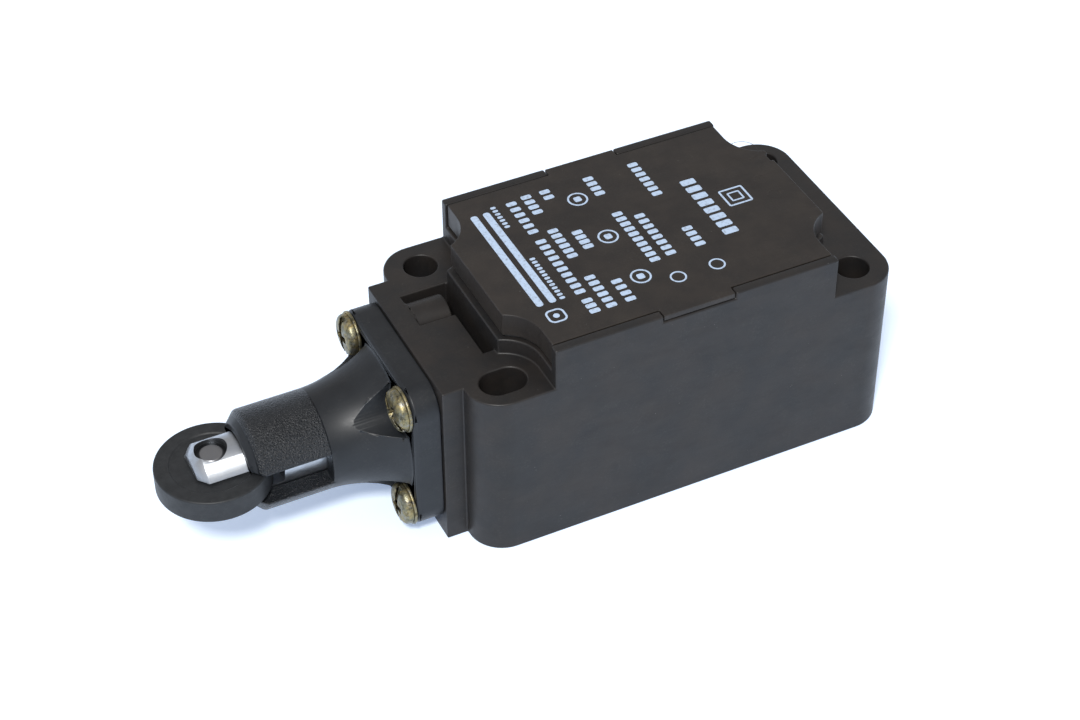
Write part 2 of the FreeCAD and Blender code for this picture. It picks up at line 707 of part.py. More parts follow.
# ---------------------------------------------------------------------------
# Plunger, roller and springs
# ---------------------------------------------------------------------------
def make_plunger():
    """Steel plunger: forked end, guided barrel, collar, spring pilot and stem."""
    body = new_body("plunger", axis_height="head_axis")
    tip = ROLLER_PLACE + " + ear_reach"
    collar_front = "-" + CHAMBER_FRONT + " + running_gap"
    stem_end = "-" + BUTTON_FRONT + " - button_slack"
    turn_solid(body, "XY_Plane", "X_Axis", "barrel", [
        ("-(" + tip + ")", "0"),
        (stem_end, "0"),
        (stem_end, "stem_radius"),
        ("-" + COLLAR_BACK + " + spring_pilot_length", "stem_radius"),
        ("-" + COLLAR_BACK + " + spring_pilot_length", "spring_pilot_radius"),
        ("-" + COLLAR_BACK, "spring_pilot_radius"),
        ("-" + COLLAR_BACK, "collar_radius"),
        (collar_front, "collar_radius"),
        (collar_front, "plunger_radius"),
        ("-(" + tip + ") + ear_bevel", "plunger_radius"),
        ("-(" + tip + ")", "plunger_radius - ear_bevel"),
    ])
    half = "(roller_width / 2 + roller_gap)"
    cut(body, "XZ_Plane", "fork",
        [rectangle("-(" + tip + ") - cut_past", "-" + half,
                   "-" + ROLLER_PLACE + " + roller_radius + roller_clear", half)], "through")
    cut(body, "XY_Plane", "pin_hole", [("circle", "-" + ROLLER_PLACE, "0", "pin_radius")], "through")
    recess = cut(body, "XY_Plane", "pin_recess", [("circle", "-" + ROLLER_PLACE, "0", "pin_recess_radius")],
                 "plunger_radius", offset="pin_recess_level", reverse=True)
    mirror_in(body, [recess], "XY_Plane", "recesses")
    return body


def make_roller():
    """Plastic roller with a plain rim, a dished face and a hub."""
    body = new_body("roller", axis_height="head_axis", along="-" + ROLLER_PLACE)
    rim = "roller_width / 2"
    dish = "roller_width / 2 - roller_dish"
    hub = "roller_width / 2 + roller_gap / 2"
    upper = [
        ("pin_radius + running_gap", hub),
        ("roller_hub_radius", hub),
        ("roller_hub_radius", dish),
        ("roller_radius - roller_land", dish),
        ("roller_radius - roller_land", rim),
        ("roller_radius - roller_edge", rim, "roller_edge", -1),
        ("roller_radius", rim + " - roller_edge"),
    ]
    lower = [
        ("roller_radius", "-(" + rim + " - roller_edge)", "roller_edge", -1),
        ("roller_radius - roller_edge", "-(" + rim + ")"),
        ("roller_radius - roller_land", "-(" + rim + ")"),
        ("roller_radius - roller_land", "-(" + dish + ")"),
        ("roller_hub_radius", "-(" + dish + ")"),
        ("roller_hub_radius", "-(" + hub + ")"),
        ("pin_radius + running_gap", "-(" + hub + ")"),
    ]
    turn_solid(body, "XZ_Plane", "Z_Axis", "wheel", upper + lower)
    return body


def make_roller_pin():
    """Steel pin, pressed into both ears of the fork."""
    body = new_body("roller_pin", axis_height="head_axis", along="-" + ROLLER_PLACE)
    turn_solid(body, "XZ_Plane", "Z_Axis", "shaft", [
        ("0", "-pin_half_length"),
        ("pin_radius - pin_bevel", "-pin_half_length"),
        ("pin_radius", "-pin_half_length + pin_bevel"),
        ("pin_radius", "pin_half_length - pin_bevel"),
        ("pin_radius - pin_bevel", "pin_half_length"),
        ("0", "pin_half_length"),
    ])


def make_spring(label, start, length, coil_radius, wire, turns):
    """A coil spring along X from -start, its wire swept along a helix."""
    helix = doc.addObject("Part::Helix", label + "_path")
    bind(helix, "Height", "(" + length + ") - " + wire)
    bind(helix, "Pitch", "((" + length + ") - " + wire + ") / " + turns)
    bind(helix, "Radius", coil_radius)
    section = doc.addObject("Part::Circle", label + "_section")
    bind(section, "Radius", wire + " / 2")
    section.Placement.Rotation = Rotation(Vector(1, 0, 0), 90)
    bind(section, "Placement.Base.x", coil_radius)
    doc.recompute()
    spring = doc.addObject("Part::Sweep", label)
    spring.Label = label
    spring.Sections = [section]
    spring.Spine = (helix, ["Edge%d" % (n + 1) for n in range(len(helix.Shape.Edges))])
    spring.Solid = True
    spring.Frenet = True
    spring.Placement.Rotation = Rotation(Vector(0, 1, 0), 90)
    bind(spring, "Placement.Base.x", "-(" + start + ") + " + wire + " / 2")
    bind(spring, "Placement.Base.z", "head_axis")
    doc.recompute()
    nodes[label] = spring


# ---------------------------------------------------------------------------
# Contact block
# ---------------------------------------------------------------------------
def make_block():
    """Open-topped base of the contact block and the lid over its channel."""
    body = new_body("contact_block_base")
    side = "block_width / 2"
    pad(body, "XY_Plane", "box", [rectangle("-block_front", "-" + side, "block_rear", side)],
        "block_height", offset="base_thickness")
    cut(body, "XY_Plane", "channel",
        [rectangle("-" + CHANNEL_FRONT, "-channel_width / 2", CHANNEL_REAR, "channel_width / 2")],
        "block_height - channel_floor", offset=BLOCK_TOP)
    cut(body, "YZ_Plane", "button_hole", [("circle", "0", "head_axis", "button_radius + running_gap")],
        "block_wall + cut_past", offset="-" + CHANNEL_FRONT)
    hole = "(terminal_radius + running_gap)"
    cut(body, "XY_Plane", "terminal_holes",
        [("circle", x_place, y_place, hole) for x_place in (NC_TERMINAL, NO_TERMINAL)
         for y_place in ("-terminal_offset", "terminal_offset")],
        "terminal_reach + running_gap", offset=BLOCK_TOP)
    cut(body, "XY_Plane", "post_sockets",
        [("circle", "-post_place", y_place, "post_radius + post_gap")
         for y_place in ("-post_offset", "post_offset")],
        "post_height + post_gap", offset="base_thickness", reverse=True)
    cut(body, "XY_Plane", "fixing_holes",
        [("circle", "-post_place", y_place, "fixing_radius + screw_gap")
         for y_place in ("-post_offset", "post_offset")], "block_height + cut_past", offset=BLOCK_TOP)
    lid = new_body("contact_block_lid")
    pad(lid, "XY_Plane", "plate",
        [rectangle("-block_front", "-(leg_inner - carrier_gap)", "block_rear", "leg_inner - carrier_gap")],
        "lid_thickness", offset=BLOCK_TOP)
    front = CHANNEL_FRONT + " - carrier_gap"
    rear = CHANNEL_REAR + " - carrier_gap"
    key = "(carrier_width / 2 + lid_key_margin)"
    pad(lid, "XY_Plane", "keys",
        [rectangle("-(" + front + ")", "-" + key, "-(" + front + ") + block_wall", key),
         rectangle(rear + " - block_wall", "-" + key, rear, key)],
        "lid_key_height", offset=BLOCK_TOP, reverse=True)


def make_carrier():
    """Push button and slide that carries the two contact bridges."""
    body = new_body("contact_carrier")
    front = CHANNEL_FRONT + " - carrier_gap / 2"
    half = "carrier_width / 2"
    pad(body, "XY_Plane", "slide",
        [rectangle("-(" + front + ")", "-" + half, "-carrier_end", half)],
        "block_height - channel_floor - slide_headroom", offset=CHANNEL_FLOOR + " + carrier_gap")
    pad(body, "YZ_Plane", "button", [("circle", "0", "head_axis", "button_radius")],
        BUTTON_FRONT + " - (" + front + ")", offset="-" + BUTTON_FRONT)
    cut(body, "XZ_Plane", "window",
        [rectangle("-nc_bridge_face", "head_axis - bridge_height / 2 - running_gap",
                   "-no_bridge_face", "head_axis + bridge_height / 2 + running_gap")], "through")


def make_bridge(label, face, towards):
    """A moving contact bridge; its studs point towards -X or +X."""
    body = new_body(label)
    half = "bridge_height / 2"
    back = "-" + face if towards < 0 else "-" + face + " - bridge_thickness"
    outer = "-" + face
    pad(body, "YZ_Plane", "bar",
        [rectangle("-bridge_half_length", "head_axis - " + half, "bridge_half_length",
                   "head_axis + " + half)], "bridge_thickness", offset=back)
    pad(body, "YZ_Plane", "studs",
        [("circle", "-stud_offset", "head_axis", "stud_radius"),
         ("circle", "stud_offset", "head_axis", "stud_radius")],
        "stud_height", offset=outer, reverse=towards < 0)


def mirrored_pair(side, low, high):
    """The bounds low to high on side 1, or the same bounds mirrored on side -1."""
    return (low, high) if side > 0 else ("-" + high, "-" + low)


def make_fixed_contact(label, face, towards, terminal, side):
    """An L-shaped strip from a terminal down into the channel, with one contact stud."""
    body = new_body(label)
    sign = "" if side > 0 else "-"
    half = " strip_width / 2"
    tab_low, tab_high = mirrored_pair(side, "leg_inner", "(terminal_offset + clamp_size / 2)")
    leg_low, leg_high = mirrored_pair(side, "leg_inner", "(channel_width / 2 - carrier_gap)")
    leg_back = face + " - strip_thickness" if towards > 0 else face
    pad(body, "XY_Plane", "tab",
        [rectangle(terminal + " -" + half, tab_low, terminal + " +" + half, tab_high)],
        "strip_thickness", offset=BLOCK_TOP)
    pad(body, "XY_Plane", "leg",
        [rectangle(leg_back, leg_low, leg_back + " + strip_thickness", leg_high)],
        "leg_drop", offset=BLOCK_TOP + " + strip_thickness", reverse=True)
    pad(body, "YZ_Plane", "stud", [("circle", sign + "stud_offset", "head_axis", "stud_radius")],
        "stud_height", offset=face, reverse=towards < 0)
    cut(body, "XY_Plane", "screw_hole",
        [("circle", terminal, sign + "terminal_offset", "terminal_radius + screw_gap")],
        "strip_thickness + cut_past", offset=BLOCK_TOP + " + strip_thickness")


def make_terminals():
    """Four terminal screws and the square clamps under their heads."""
    clamps = new_body("terminal_clamps")
    screws = new_body("terminal_screws")
    seat = BLOCK_TOP + " + strip_thickness + clamp_thickness"
    half = "clamp_size / 2"
    places = [(x_place, y_place) for x_place in (NC_TERMINAL, NO_TERMINAL)
              for y_place in ("-terminal_offset", "terminal_offset")]
    pad(clamps, "XY_Plane", "plates",
        [rectangle(x + " - " + half, y + " - " + half, x + " + " + half, y + " + " + half)
         for x, y in places], "clamp_thickness", offset=BLOCK_TOP + " + strip_thickness")
    cut(clamps, "XY_Plane", "holes",
        [("circle", x, y, "terminal_radius + screw_gap") for x, y in places],
        "clamp_thickness + cut_past", offset=seat)
    pad(screws, "XY_Plane", "heads", [("circle", x, y, "terminal_head_radius") for x, y in places],
        "terminal_head_height", offset=seat)
    pad(screws, "XY_Plane", "shanks", [("circle", x, y, "terminal_radius") for x, y in places],
        "strip_thickness + clamp_thickness + terminal_reach", offset=seat, reverse=True)
    reach = "terminal_head_radius + cut_past"
    cut(screws, "XY_Plane", "drives",
        [rectangle(x + " - (" + reach + ")", y + " - drive_width / 2", x + " + " + reach,
                   y + " + drive_width / 2") for x, y in places],
        "drive_depth", offset=seat + " + terminal_head_height")


def make_block_screws():
    """Two screws that hold the contact block on the housing's posts."""
    body = new_body("block_screws")
    seat = BLOCK_TOP
    places = [("-post_place", "-post_offset"), ("-post_place", "post_offset")]
    pad(body, "XY_Plane", "heads", [("circle", x, y, "terminal_head_radius") for x, y in places],
        "terminal_head_height", offset=seat)
    pad(body, "XY_Plane", "shanks", [("circle", x, y, "fixing_radius") for x, y in places],
        "block_height - post_height + fixing_reach", offset=seat, reverse=True)
    reach = "terminal_head_radius + cut_past"
    cut(body, "XY_Plane", "drives",
        [rectangle(x + " - (" + reach + ")", y + " - drive_width / 2", x + " + " + reach,
                   y + " + drive_width / 2") for x, y in places],
        "drive_depth", offset=seat + " + terminal_head_height")


make_housing()
make_cover()
make_cover_gasket()
make_head()
make_head_gasket()
make_plunger_seal()
make_head_screws()
make_plunger()
make_roller()
make_roller_pin()
make_spring("return_spring", COLLAR_BACK, COLLAR_BACK + " - " + SPRING_SEAT,
            "spring_coil_radius", "spring_wire", "spring_turns")
make_block()
make_carrier()
make_bridge("nc_contact_bridge", "nc_bridge_face", -1)
make_bridge("no_contact_bridge", "no_bridge_face", 1)
for side, word in ((-1, "left"), (1, "right")):
    make_fixed_contact("nc_fixed_contact_" + word, NC_FACE, 1, NC_TERMINAL, side)
    make_fixed_contact("no_fixed_contact_" + word, NO_FACE, -1, NO_TERMINAL, side)
make_terminals()
make_block_screws()
make_spring("contact_spring", "nc_bridge_face - bridge_thickness",
            "nc_bridge_face - no_bridge_face - bridge_thickness * 2",
            "contact_spring_radius", "contact_spring_wire", "contact_spring_turns")
make_spring("carrier_spring", "carrier_end", "carrier_end + " + CHANNEL_REAR,
            "carrier_spring_radius", "carrier_spring_wire", "carrier_spring_turns")

# ---------------------------------------------------------------------------
# Checks and files
# ---------------------------------------------------------------------------
doc.recompute()
for item in doc.Objects:
    if "Invalid" in item.State or "Error" in item.State:
        raise RuntimeError("%s is %s" % (item.Name, item.State))
os.makedirs("parts", exist_ok=True)
for label, item in nodes.items():
    shape = item.Shape
    if shape.isNull() or not shape.isValid() or not shape.Solids:
        raise RuntimeError("%s has no valid solid" % label)
    shape.exportStep("parts/%s.step" % label)
    box = shape.BoundBox
    print("%-24s %d solids %9.1f mm3  X %7.2f %7.2f  Y %7.2f %7.2f  Z %6.2f %6.2f" % (
        label, len(shape.Solids), shape.Volume, box.XMin, box.XMax, box.YMin, box.YMax,
        box.ZMin, box.ZMax))
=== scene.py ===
"""A limit switch with a roller plunger: its visible pieces, finishes, light and camera.

Sizes in the classes are millimetres. Meshes are built in metres, in the frame's own place:
+X runs from the roller end to the cable end, +Y across, and +Z from the back face to the cover.
"""
import json
import logging
import math
from collections.abc import Callable, Sequence
from dataclasses import dataclass
from enum import Enum

import bmesh
import bpy
from mathutils import Euler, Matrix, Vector

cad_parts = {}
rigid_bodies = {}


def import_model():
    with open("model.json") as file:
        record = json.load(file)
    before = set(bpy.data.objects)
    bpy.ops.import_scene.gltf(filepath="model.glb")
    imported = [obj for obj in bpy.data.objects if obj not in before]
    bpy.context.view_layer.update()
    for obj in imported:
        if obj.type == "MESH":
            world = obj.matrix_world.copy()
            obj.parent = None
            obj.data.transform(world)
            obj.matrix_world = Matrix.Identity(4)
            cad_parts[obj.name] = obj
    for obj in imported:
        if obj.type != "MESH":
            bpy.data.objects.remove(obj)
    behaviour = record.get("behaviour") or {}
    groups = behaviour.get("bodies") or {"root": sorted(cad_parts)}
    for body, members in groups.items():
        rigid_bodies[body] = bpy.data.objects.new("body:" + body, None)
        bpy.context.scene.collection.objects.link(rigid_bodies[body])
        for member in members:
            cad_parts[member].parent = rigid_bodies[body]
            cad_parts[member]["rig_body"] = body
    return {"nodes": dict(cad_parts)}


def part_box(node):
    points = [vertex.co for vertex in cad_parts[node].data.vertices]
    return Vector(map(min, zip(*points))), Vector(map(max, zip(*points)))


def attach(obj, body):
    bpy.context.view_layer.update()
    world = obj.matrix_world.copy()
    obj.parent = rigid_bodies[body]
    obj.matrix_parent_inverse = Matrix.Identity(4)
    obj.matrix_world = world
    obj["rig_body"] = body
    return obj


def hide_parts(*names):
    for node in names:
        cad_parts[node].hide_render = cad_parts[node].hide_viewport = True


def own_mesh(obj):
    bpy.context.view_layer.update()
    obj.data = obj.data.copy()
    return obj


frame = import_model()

LOG = logging.getLogger("limit_switch")
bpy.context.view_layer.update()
MM = 0.001
UP = Vector((0.0, 0.0, 1.0))
ALONG = Vector((1.0, 0.0, 0.0))

Colour = tuple[float, float, float]
Value = bpy.types.NodeSocket | float | Sequence[float] | None
Shape = Callable[[Value, Value], tuple[Value, Value]]


# ---------------------------------------------------------------------------
# Node trees
# ---------------------------------------------------------------------------
# Edge wear: how far the softened normal leans from the true one, as cosines, and the patch in mm.
WEAR_STARTS = 0.995
WEAR_FULL = 0.86
WEAR_PATCH = 1.1
WEAR_SAMPLES = 4


class Graph:
    """A node tree, for a finish or for geometry, that is written as a list of steps."""

    def __init__(self, tree: bpy.types.NodeTree) -> None:
        """Takes the tree that the steps are added to.

        Args:
            tree: The shader or geometry tree.
        """
        self.tree = tree

    def feed(self, socket: bpy.types.NodeSocket, value: Value) -> None:
        """Links a socket to another one, or sets its own value.

        Args:
            socket: The input to feed.
            value: An output socket, a plain value, or None to leave the input alone.
        """
        if isinstance(value, bpy.types.NodeSocket):
            self.tree.links.new(value, socket)
        elif value is not None:
            socket.default_value = value

    def add(self, kind: str, *values: Value, **settings: object) -> bpy.types.Node:
        """Adds a node.

        Args:
            kind: The node's type name.
            *values: What feeds its inputs, in order.
            **settings: The node's own options.

        Returns:
            The new node.
        """
        node = self.tree.nodes.new(kind)
        for option, choice in settings.items():
            setattr(node, option, choice)
        for socket, value in zip(node.inputs, values):
            self.feed(socket, value)
        return node

    def named(self, node: bpy.types.Node, **values: Value) -> bpy.types.Node:
        """Feeds a node's inputs by name, with an underscore for each space.

        Args:
            node: The node to feed.
            **values: What feeds each named input.

        Returns:
            The same node.
        """
        for name, value in values.items():
            self.feed(node.inputs[name.replace("_", " ")], value)
        return node

    def math(self, operation: str, *values: Value) -> bpy.types.NodeSocket:
        """Works out one number from others.

        Args:
            operation: The Math node's operation.
            *values: Its operands.

        Returns:
            The result's socket.
        """
        return self.add("ShaderNodeMath", *values, operation=operation).outputs[0]

    def times(self, first: Value, second: Value) -> bpy.types.NodeSocket:
        """The product of two numbers."""
        return self.math("MULTIPLY", first, second)

    def spread(self, value: Value, low: float, high: float, start: Value = 0.0,
               end: Value = 1.0) -> bpy.types.NodeSocket:
        """Maps low to high onto start to end, and holds the ends beyond them.

        Args:
            value: The number to map.
            low: Where the output is start.
            high: Where the output is end.
            start: The output at low.
            end: The output at high.

        Returns:
            The result's socket.
        """
        return self.add("ShaderNodeMapRange", value, low, high, start, end).outputs[0]


class Pattern(Graph):
    """A material's tree, with object coordinates in millimetres."""

    def __init__(self, name: str) -> None:
        """Starts a material.

        Args:
            name: The material's name.
        """
        self.material = bpy.data.materials.new(name)
        self.material.use_nodes = True
        super().__init__(self.material.node_tree)
        self.shader = self.tree.nodes["Principled BSDF"]
        place = self.add("ShaderNodeTexCoord").outputs["Object"]
        per_mm = (1 / MM,) * 3
        self.place = self.add("ShaderNodeMapping", place, None, None, per_mm).outputs[0]

    def stretched(self, scale: Sequence[float]) -> bpy.types.NodeSocket:
        """The coordinates, scaled along each axis.

        Args:
            scale: The factor along X, Y and Z.

        Returns:
            The scaled coordinates.
        """
        return self.add("ShaderNodeMapping", self.place, None, None, tuple(scale)).outputs[0]

    def noise(self, size: float, detail: float = 3.0, roughness: float = 0.5,
              place: Value = None, distortion: float = 0.0) -> bpy.types.NodeSocket:
        """Soft random blotches.

        Args:
            size: How wide a blotch is, in millimetres.
            detail: How many finer layers it has.
            roughness: How strong those layers are.
            place: Coordinates other than the plain ones.
            distortion: How far the blotches swirl.

        Returns:
            The noise, about 0.5.
        """
        node = self.add("ShaderNodeTexNoise")
        self.named(node, Vector=place or self.place, Scale=1 / size, Detail=detail,
                   Roughness=roughness, Distortion=distortion)
        return node.outputs[0]

    def cells(self, size: float, place: Value = None, output: str = "Distance"
              ) -> bpy.types.NodeSocket:
        """Cells about random points, for specks and coarse grain.

        Args:
            size: How wide a cell is, in millimetres.
            place: Coordinates other than the plain ones.
            output: Which of the cell pattern's outputs to read.

        Returns:
            The chosen output.
        """
        node = self.add("ShaderNodeTexVoronoi")
        self.named(node, Vector=place or self.place, Scale=1 / size)
        return node.outputs[output]

    def blend(self, share: Value, first: Value, second: Value) -> bpy.types.NodeSocket:
        """Mixes two colours.

        Args:
            share: How much of the second shows.
            first: One colour.
            second: The other colour.

        Returns:
            The mixed colour.
        """
        node = self.add("ShaderNodeMix", data_type="RGBA")
        for socket, value in ((node.inputs[0], share), (node.inputs[6], first), (node.inputs[7], second)):
            self.feed(socket, opaque(value))
        return node.outputs[2]

    def worn(self, reach: float, strength: float) -> bpy.types.NodeSocket:
        """Where the surface turns an edge, broken up as wear is.

        Args:
            reach: How far from the edge it shows, in millimetres.
            strength: How strongly it shows.

        Returns:
            A share from 0 on the flats to 1 on a worn edge.
        """
        softened = self.add("ShaderNodeBevel", reach * MM, samples=WEAR_SAMPLES).outputs[0]
        true_normal = self.add("ShaderNodeNewGeometry").outputs["Normal"]
        along = self.add("ShaderNodeVectorMath", softened, true_normal, operation="DOT_PRODUCT")
        edge = self.spread(along.outputs["Value"], WEAR_STARTS, WEAR_FULL)
        broken = self.spread(self.noise(WEAR_PATCH, 5.0, 0.65), 0.38, 0.62)
        return self.times(self.times(edge, broken), strength)

    def relief(self, height: Value, depth: float, strength: float = 1.0,
               normal: Value = None) -> bpy.types.NodeSocket:
        """Turns a height into small bumps.

        Args:
            height: The height, from 0 to 1.
            depth: How deep it is, in millimetres.
            strength: How much of it shows.
            normal: A bumped normal to add to.

        Returns:
            The bumped normal.
        """
        node = self.add("ShaderNodeBump")
        self.named(node, Strength=strength, Distance=depth * MM, Height=height, Normal=normal)
        return node.outputs[0]


def opaque(value: Value) -> Value:
    """A colour with its fourth number, or any other value unchanged."""
    return (*value, 1.0) if isinstance(value, tuple) and len(value) == 3 else value


# ---------------------------------------------------------------------------
# Finishes
# ---------------------------------------------------------------------------
@dataclass(frozen=True)
class Finish:
    """What every finish has: a name, a colour and a gloss."""

    name: str
    colour: Colour
    roughness: float

    def material(self) -> bpy.types.Material:
        """The finish's material, made once.

        Returns:
            The material.
        """
        found = bpy.data.materials.get(self.name)
        if found is not None:
            return found
        pattern = Pattern(self.name)
        self.draw(pattern)
        return pattern.material

    def draw(self, pattern: Pattern) -> None:
        """Adds this finish's steps to a new material.

        Args:
            pattern: The material's tree.
        """
        raise NotImplementedError


@dataclass(frozen=True)
class MouldedPlastic(Finish):
    """Dark moulded plastic: mottled, finely grained, dusty and rubbed along its edges."""

    mottle: Colour = (0.019, 0.015, 0.0125)
    mottle_size: float = 6.0
    grain_size: float = 0.16
    grain_depth: float = 0.012
    edge: Colour = (0.085, 0.080, 0.074)
    edge_reach: float = 0.2
    edge_strength: float = 0.5
    dust: Colour = (0.11, 0.108, 0.10)
    dust_size: float = 1.1
    specular: float = 0.36

    def draw(self, pattern: Pattern) -> None:
        """Adds mottling, scuffs, dust, edge wear and grain."""
        broad = pattern.noise(self.mottle_size, 5.0, 0.6)
        colour = pattern.blend(pattern.spread(broad, 0.36, 0.66), self.colour, self.mottle)
        speck = pattern.spread(pattern.cells(self.dust_size), 0.075, 0.03)
        rare = pattern.spread(pattern.noise(self.dust_size * 2.2, 2.0), 0.55, 0.68)
        colour = pattern.blend(pattern.times(speck, rare), colour, self.dust)
        film = pattern.noise(0.35, 4.0, 0.75, pattern.stretched((0.8, 1.0, 1.0)))
        share = pattern.times(pattern.spread(film, 0.5, 0.8, 0.0, 0.16),
                             pattern.spread(pattern.noise(4.0, 3.0), 0.4, 0.65))
        colour = pattern.blend(share, colour, self.dust)
        colour = pattern.blend(pattern.worn(self.edge_reach, self.edge_strength), colour, self.edge)
        scuffs = pattern.noise(2.4, 6.0, 0.7, pattern.stretched((0.35, 1.0, 1.0)), 0.4)
        gloss = pattern.spread(scuffs, 0.3, 0.75, self.roughness - 0.07, self.roughness + 0.1)
        grain = pattern.noise(self.grain_size, 2.0, 0.6)
        normal = pattern.relief(grain, self.grain_depth, 0.8)
        normal = pattern.relief(pattern.noise(9.0, 2.0), 0.12, 0.35, normal)
        pattern.named(pattern.shader, Base_Color=colour, Roughness=gloss, Normal=normal,
                      Specular_IOR_Level=self.specular)


@dataclass(frozen=True)
class ErodedPlastic(MouldedPlastic):
    """Moulded plastic with a sparkling band, eroded by sparks, along part of its length; pale specks in it
    are painted glints.
    """

    band_start: float = -66.0
    band_end: float = -54.8
    pit_size: float = 0.3
    pit_depth: float = 0.16
    # The colour of the painted glints: pale specks painted into the band in place of sparkle.
    painted_glint: Colour = (0.15, 0.16, 0.18)

    def draw(self, pattern: Pattern) -> None:
        """Adds the plain plastic's steps, then the coarse grain of the band and its painted glints."""
        super().draw(pattern)
        along = pattern.add("ShaderNodeSeparateXYZ", pattern.place).outputs[0]
        inside = pattern.times(pattern.spread(along, self.band_start - 0.1, self.band_start + 0.1),
                              pattern.spread(along, self.band_end + 0.1, self.band_end - 0.1))
        pits = pattern.cells(self.pit_size)
        rough = pattern.noise(self.pit_size * 0.8, 3.0, 0.7)
        height = pattern.times(pattern.math("ADD", pits, rough), inside)
        plain = pattern.shader.inputs["Normal"].links[0].from_socket
        normal = pattern.relief(height, self.pit_depth, 0.9, plain)
        # Pale specks in the band: painted glints, standing for light sparkling on the grain.
        glint_specks = pattern.spread(pattern.noise(self.pit_size * 0.7, 1.0), 0.68, 0.78, 0.0, 0.6)
        plain_colour = pattern.shader.inputs["Base Color"].links[0].from_socket
        colour = pattern.blend(pattern.times(glint_specks, inside), plain_colour, self.painted_glint)
        gloss = pattern.spread(inside, 0.0, 1.0, pattern.shader.inputs["Roughness"].links[0].from_socket, 0.3)
        pattern.named(pattern.shader, Base_Color=colour, Normal=normal, Roughness=gloss)


@dataclass(frozen=True)
class DrawnSteel(Finish):
    """Bright steel with fine drawing lines, rubbed patches and a little tarnish."""

    dull: Colour = (0.30, 0.29, 0.28)
    lines: tuple[float, float, float] = (0.06, 1.0, 1.0)
    line_depth: float = 0.01
    tarnish: float = 0.35
    # Axis x, y and radius, in mm, of a round recess that is painted nearly black as painted shade.
    shade_pocket: tuple[float, float, float] | None = None
    # Nearly black: the colour of the painted shade in the recess.
    grime_and_shade: Colour = (0.012, 0.012, 0.013)

    def draw(self, pattern: Pattern) -> None:
        """Adds drawing lines, tarnish and scratches, and painted shade in a round pocket about an axis."""
        line = pattern.noise(0.22, 4.0, 0.6, pattern.stretched(self.lines))
        blotch = pattern.noise(2.2, 5.0, 0.65)
        share = pattern.times(pattern.spread(blotch, 0.45, 0.72), self.tarnish)
        colour = pattern.blend(share, self.colour, self.dull)
        colour = pattern.blend(pattern.spread(line, 0.55, 0.8, 0.0, 0.35), colour, self.dull)
        gloss = pattern.spread(blotch, 0.3, 0.7, self.roughness - 0.06, self.roughness + 0.14)
        # Painted shade: within the radius about the axis the steel is painted nearly black, for the shade in
        # the recess.
        if self.shade_pocket:
            x, y, radius = self.shade_pocket
            flat = pattern.add("ShaderNodeVectorMath", pattern.stretched((1.0, 1.0, 0.0)), (x, y, 0.0),
                               operation="DISTANCE").outputs["Value"]
            recess_shade = pattern.spread(flat, radius + 0.02, radius - 0.02, 0.0, 0.93)
            colour = pattern.blend(recess_shade, colour, self.grime_and_shade)
        normal = pattern.relief(line, self.line_depth, 0.8)
        pattern.named(pattern.shader, Base_Color=colour, Metallic=1.0, Roughness=gloss, Normal=normal)


@dataclass(frozen=True)
class Chromate(Finish):
    """Zinc plating with a worn yellow passivation: olive, gold and bare grey in patches."""

    gold: Colour = (0.33, 0.27, 0.13)
    bare: Colour = (0.27, 0.27, 0.26)
    grime_and_shade: Colour = (0.028, 0.024, 0.018)

    def draw(self, pattern: Pattern) -> None:
        """Adds the patches, the dirt in them and a pitted skin."""
        patch = pattern.noise(1.5, 5.0, 0.7, None, 0.6)
        colour = pattern.blend(pattern.spread(patch, 0.42, 0.6), self.colour, self.gold)
        worn = pattern.spread(pattern.noise(0.7, 4.0, 0.7), 0.5, 0.7)
        colour = pattern.blend(worn, colour, self.bare)
        dirt = pattern.spread(pattern.noise(0.8, 6.0, 0.78), 0.48, 0.66)
        colour = pattern.blend(dirt, colour, self.grime_and_shade)
        gloss = pattern.spread(patch, 0.3, 0.7, self.roughness - 0.08, self.roughness + 0.18)
        pits = pattern.noise(0.3, 4.0, 0.7)
        pattern.named(pattern.shader, Base_Color=colour, Metallic=0.9, Roughness=gloss,
                      Normal=pattern.relief(pits, 0.05, 0.8))


@dataclass(frozen=True)
class SoftRubber(Finish):
    """Matt black rubber with a dusty bloom."""

    bloom: Colour = (0.05, 0.05, 0.052)

    def draw(self, pattern: Pattern) -> None:
        """Adds the bloom and a fine skin."""
        colour = pattern.blend(pattern.spread(pattern.noise(3.0, 5.0, 0.6), 0.45, 0.7),
                               self.colour, self.bloom)
        normal = pattern.relief(pattern.noise(0.2, 2.0), 0.015, 0.6)
        pattern.named(pattern.shader, Base_Color=colour, Roughness=self.roughness, Normal=normal)


@dataclass(frozen=True)
class PrintedInk(Finish):
    """Pad-printed ink, a little thin in places."""

    thin: Colour = (0.22, 0.25, 0.30)

    def draw(self, pattern: Pattern) -> None:
        """Adds the thin patches."""
        share = pattern.spread(pattern.noise(0.5, 4.0, 0.7), 0.5, 0.72, 0.0, 0.8)
        pattern.named(pattern.shader, Base_Color=pattern.blend(share, self.colour, self.thin),
                      Roughness=self.roughness)


